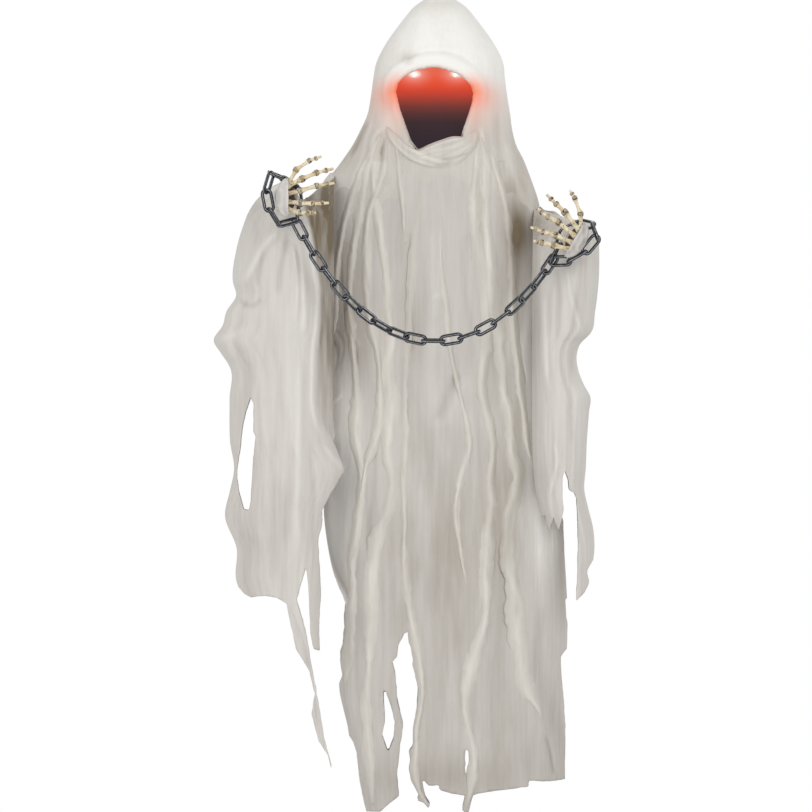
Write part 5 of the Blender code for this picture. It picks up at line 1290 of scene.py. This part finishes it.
def cuff(name, palm, turn, body):
    """Gauze wound about the root of the hand: a half ellipsoid with ridges of the wound turns."""
    along, across, front = hand_ways(turn)
    v = np.linspace(0, 1, 36)[:, None]
    ring = np.linspace(0, 2 * math.pi, 73)[None, :]
    bend = np.clip(v / CUFF_ROUND, 0, 1) * math.pi / 2
    round_share = np.sin(bend)
    turns = 3.0 * v + 0.6 * np.sin(ring) + 0.4 * drift(v * 3, 4 * np.sin(ring), 71)
    ridge = 1 - np.abs(np.sin(math.pi * turns))
    swell = (0.0016 * ridge + 0.0010 * crinkle(v * 8, 5 * np.sin(ring), 73)) * round_share
    high, deep = CUFF_HIGH * round_share + swell, CUFF_DEEP * round_share + swell
    reach = CUFF_REACH * (1 - np.cos(bend)) + CUFF_TAIL * np.clip(v - CUFF_ROUND, 0, 1)
    reach = reach + 0.0016 * crinkle(0.0, 6 * np.sin(ring), 75) * round_share
    points = palm + along * reach[..., None] + (
        across * (high * np.cos(ring))[..., None] + front * (deep * np.sin(ring))[..., None]
    )
    # Painted shade and light: the wound turns' ridges paler and the grooves between them darker, with
    # uneven tone
    tint = 0.22 - 0.45 * ridge + 0.3 * crinkle(v * 6, 4 * np.sin(ring), 77)
    piece = cloth(name + "_wrap", [part(points, tint)], CUFF_GAUZE, body)
    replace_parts(piece, name)
    return piece


def link_part(centre, along, degrees):
    """One link: a round bar along a stadium of two straights and two half circles, rolled."""
    flat = np.cross(along, (0.0, 1.0, 0.0))
    flat /= np.linalg.norm(flat)
    roll = math.radians(degrees)
    wide = flat * math.cos(roll) + np.cross(along, flat) * math.sin(roll)
    bow = LINK_WIDTH / 2 - LINK_WIRE
    reach = LINK_INSIDE / 2 + LINK_WIRE - bow
    turn = np.linspace(-math.pi / 2, math.pi / 2, 15)
    right = np.stack([reach + bow * np.cos(turn), bow * np.sin(turn)], axis=1)
    loop = np.concatenate([right, -right])
    path = centre + loop[:, :1] * along + loop[:, 1:] * wide
    # Painted highlights: bright bands down the wire on the link's faces and edges
    highlight_bands = np.clip(np.cos(np.linspace(0, 8 * math.pi, 13)), 0, 1)[None, :]
    return rod(path, LINK_WIRE, 12, np.cross(along, wide), tints=highlight_bands, closed=True)


def slung_links():
    """The slung chain's links, each laid on its CAD link by its middle and its length, and rolled."""
    for n, degrees in enumerate(LINK_ROLLS, 1):
        name = f"swag_link_{n:02d}"
        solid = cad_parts[name].data
        corners = np.empty(len(solid.vertices) * 3)
        solid.vertices.foreach_get("co", corners)
        corners = corners.reshape(-1, 3)
        low, high = corners.min(axis=0), corners.max(axis=0)
        centre = (low + high) / 2
        ways = np.linalg.svd(corners - corners.mean(axis=0), full_matrices=False)[2]
        link = link_part(centre, ways[0], degrees + 90.0 * (n % 2 == 0))
        piece = make(f"slung_link_{n:02d}", [link], CHAIN, "chain")
        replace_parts(piece, name)


def wrist_links(name, route, rolls, body):
    """The loop round a wrist: eight links along a closed path, each with its own roll."""
    px, py, y = np.array(route + route[:1], float).T
    x, z = at(px, py)
    joints = path_through(np.stack([x, y, z], axis=1), 9)
    parts = []
    for start, end, degrees in zip(joints, joints[1:], rolls):
        way = (end - start) / np.linalg.norm(end - start)
        parts.append(link_part((start + end) / 2, way, degrees))
    piece = make(name + "_links", parts, CHAIN, body)
    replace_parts(piece, name)


def hanging_ring():
    """The round steel ring, welded shut: a round bar along a circle."""
    turn = np.linspace(0, 2 * math.pi, 96, endpoint=False)
    path = np.zeros((len(turn), 3))
    path[:, 0] = RING_RADIUS * np.cos(turn)
    path[:, 2] = RING_Z + RING_RADIUS * np.sin(turn)
    piece = make("steel_ring", [rod(path, RING_WIRE, 14, closed=True)], STEEL, "ring")
    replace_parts(piece, "hang_ring")


STEEL = plastic_look("bright_steel", (0.62, 0.62, 0.63), (0.48, 0.48, 0.50), 0.28, 1.0)
CAD_LOOKS = {
    "shell": plastic_look("black_shell", (0.035, 0.033, 0.035), (0.055, 0.052, 0.055), 0.5),
    "tube": plastic_look("grey_tube", (0.55, 0.55, 0.54), (0.47, 0.47, 0.46), 0.4),
    "box": plastic_look("box_black", (0.030, 0.030, 0.032), (0.045, 0.045, 0.048), 0.45),
    "switch": plastic_look("switch_red", (0.50, 0.04, 0.03), (0.42, 0.03, 0.025), 0.4),
    "cell": plastic_look("cell_case", (0.10, 0.16, 0.30), (0.08, 0.12, 0.24), 0.3, 0.4),
    "contact": plastic_look("contact_plate", (0.72, 0.66, 0.50), (0.60, 0.55, 0.42), 0.3, 1.0),
    "lead": plastic_look("lead_sleeve", (0.30, 0.02, 0.02), (0.22, 0.015, 0.015), 0.5),
    "lens": plastic_look(
        "lamp_lens", (0.90, 0.55, 0.50), (0.85, 0.45, 0.40), 0.2,
        Emission_Color=(1.0, 0.55, 0.45, 1.0), Emission_Strength=2.0,
    ),
}
CAD_FINISHES = {
    "crown_eye_bolt": "steel", "crown_washer": "steel", "crown_nut": "steel", "post_screw": "steel",
    "head_shell": "shell", "shoulder_bar": "shell", "light_bar": "shell", "neck_post": "tube",
    "battery_box": "box", "battery_door": "box", "power_switch": "switch",
    "battery_left": "cell", "battery_right": "cell", "contact_top": "contact", "contact_bottom": "contact",
    "led_lead": "lead", "led_left": "lens", "led_right": "lens",
}

for node, finish in CAD_FINISHES.items():
    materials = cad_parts[node].data.materials
    materials.clear()
    materials.append(STEEL if finish == "steel" else CAD_LOOKS[finish])

# Cloth of the figure
robe_front = robe_sheet("robe_front_gauze", 1, FRONT_SEED)
robe_back = robe_sheet("robe_back_gauze", -1, BACK_SEED)
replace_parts(robe_front, "robe_front")
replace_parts(robe_back, "robe_back")
hood_cover = hood()
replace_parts(hood_cover, "hood_cloth")
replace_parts(face_bowl(), "face_screen")
neck = cowl()
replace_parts(neck, "neck_cowl")
drapes = {}
for side, strips in DRAPES.items():
    parts = []
    for n, (points, width) in enumerate(strips):
        rise = MIDDLE_RISES[n] if side == "drape_middle" else STRIP_RISE
        lift = STRIP_LIFT + STRIP_STEP * (n % 3)
        parts.append(strip(points, width, 100 + 7 * n + len(side), lift, rise))
    drapes[side] = cloth(side + "_strips", parts, STRIP_GAUZE)
    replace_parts(drapes[side], side)

# Arms, sleeves, hands and chain
SIDES = (
    ("right", RIGHT_ARM, RIGHT_PALM, 0.0, RIGHT_FINGERS, RIGHT_LOOP, RIGHT_LOOP_ROLLS),
    ("left", LEFT_ARM, LEFT_PALM, math.radians(150), LEFT_FINGERS, LEFT_LOOP, LEFT_LOOP_ROLLS),
)
for side, route, palm, turn, fingers, loop, rolls in SIDES:
    body = "arm_" + side
    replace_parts(arm("arm_" + side + "_padding", route, body), "arm_" + side)
    hand("hand_" + side, palm, turn, fingers, body)
    wrap = cuff("cuff_" + side, palm, turn, body)
    wrist_links("wrist_chain_" + side, loop, rolls, body)
slung_links()
hanging_ring()

right_sleeve = sleeve(
    "sleeve_right_gauze", RIGHT_SLEEVE_ROWS, RIGHT_RIDGE, RIGHT_SLEEVE_CUT, (RIGHT_SLEEVE_HOLE,),
    RIGHT_WRIST, 1, 23, RIGHT_FOOT_PY,
)
left_sleeve = sleeve(
    "sleeve_left_gauze", LEFT_SLEEVE_ROWS, LEFT_RIDGE, LEFT_SLEEVE_CUT, (),
    LEFT_WRIST, -1, 29, LEFT_FOOT_PY,
)
for piece, node, body, x in (
    (right_sleeve, "sleeve_right", "arm_right", -0.33),
    (left_sleeve, "sleeve_left", "arm_left", 0.29),
):
    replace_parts(piece, node)
    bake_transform(piece)

# Floor, light and camera
FLOOR_HALF = 1.5
FLOOR_Z = -2.02
FLOOR_CORNERS = [(FLOOR_HALF * i, FLOOR_HALF * j, FLOOR_Z) for i, j in ((-1, -1), (1, -1), (1, 1), (-1, 1))]

floor_mesh = bpy.data.meshes.new("floor")
floor_mesh.from_pydata(FLOOR_CORNERS, [], [(0, 1, 2, 3)])
floor_mesh.materials.append(new_look("pale_floor", 0.8, Base_Color=(0.86, 0.86, 0.86, 1.0))[0])
floor = bpy.data.objects.new("floor", floor_mesh)
bpy.context.collection.objects.link(floor)

for name, spot, aim, power, size in (
    ("key", (1.6, -3.4, 0.9), (0.0, 0.0, -0.8), 42.0, 1.8),
    ("fill", (-2.4, -2.8, -0.4), (0.0, 0.0, -1.0), 28.0, 2.2),
    ("back", (0.6, 3.0, 0.8), (0.0, 0.0, -0.9), 18.0, 2.0),
):
    lamp = bpy.data.lights.new(name, "AREA")
    lamp.energy = power
    lamp.size = size
    lamp_object = bpy.data.objects.new(name, lamp)
    lamp_object.location = spot
    way = np.array(aim) - np.array(spot)
    tip = math.atan2(math.hypot(way[0], way[1]), -way[2])
    lamp_object.rotation_euler = (tip, 0.0, math.atan2(-way[0], way[1]))
    bpy.context.collection.objects.link(lamp_object)

world = bpy.data.worlds.new("studio")
world.use_nodes = True
tree = world.node_tree
tree.nodes.clear()
soft = add(tree, "ShaderNodeBackground", Color=(1.0, 0.985, 0.965, 1.0), Strength=0.655)
white = add(tree, "ShaderNodeBackground", Color=(1.0, 1.0, 1.0, 1.0), Strength=1.0)
ray = tree.nodes.new("ShaderNodeLightPath")
kinds = (ray.outputs[f"Is {kind} Ray"] for kind in ("Camera", "Glossy", "Transmission"))
shown = tree.nodes.new("ShaderNodeMixShader")
tree.links.new(summed(tree, *kinds, operation="MAXIMUM"), shown.inputs[0])
tree.links.new(soft.outputs[0], shown.inputs[1])
tree.links.new(white.outputs[0], shown.inputs[2])
tree.links.new(shown.outputs[0], tree.nodes.new("ShaderNodeOutputWorld").inputs[0])
bpy.context.scene.world = world
bpy.context.scene.view_settings.view_transform = "Standard"

DISTANCE = 50.0
lens = bpy.data.cameras.new("camera")
lens.sensor_width = 36.0
lens.lens = lens.sensor_width * DISTANCE / (PICTURE * PIXEL)
camera = bpy.data.objects.new("camera", lens)
middle_x, middle_z = at(PICTURE / 2, PICTURE / 2)
camera.location = (float(middle_x), -DISTANCE, float(middle_z))
camera.rotation_euler = (math.pi / 2, 0.0, 0.0)
bpy.context.collection.objects.link(camera)
bpy.context.scene.camera = camera
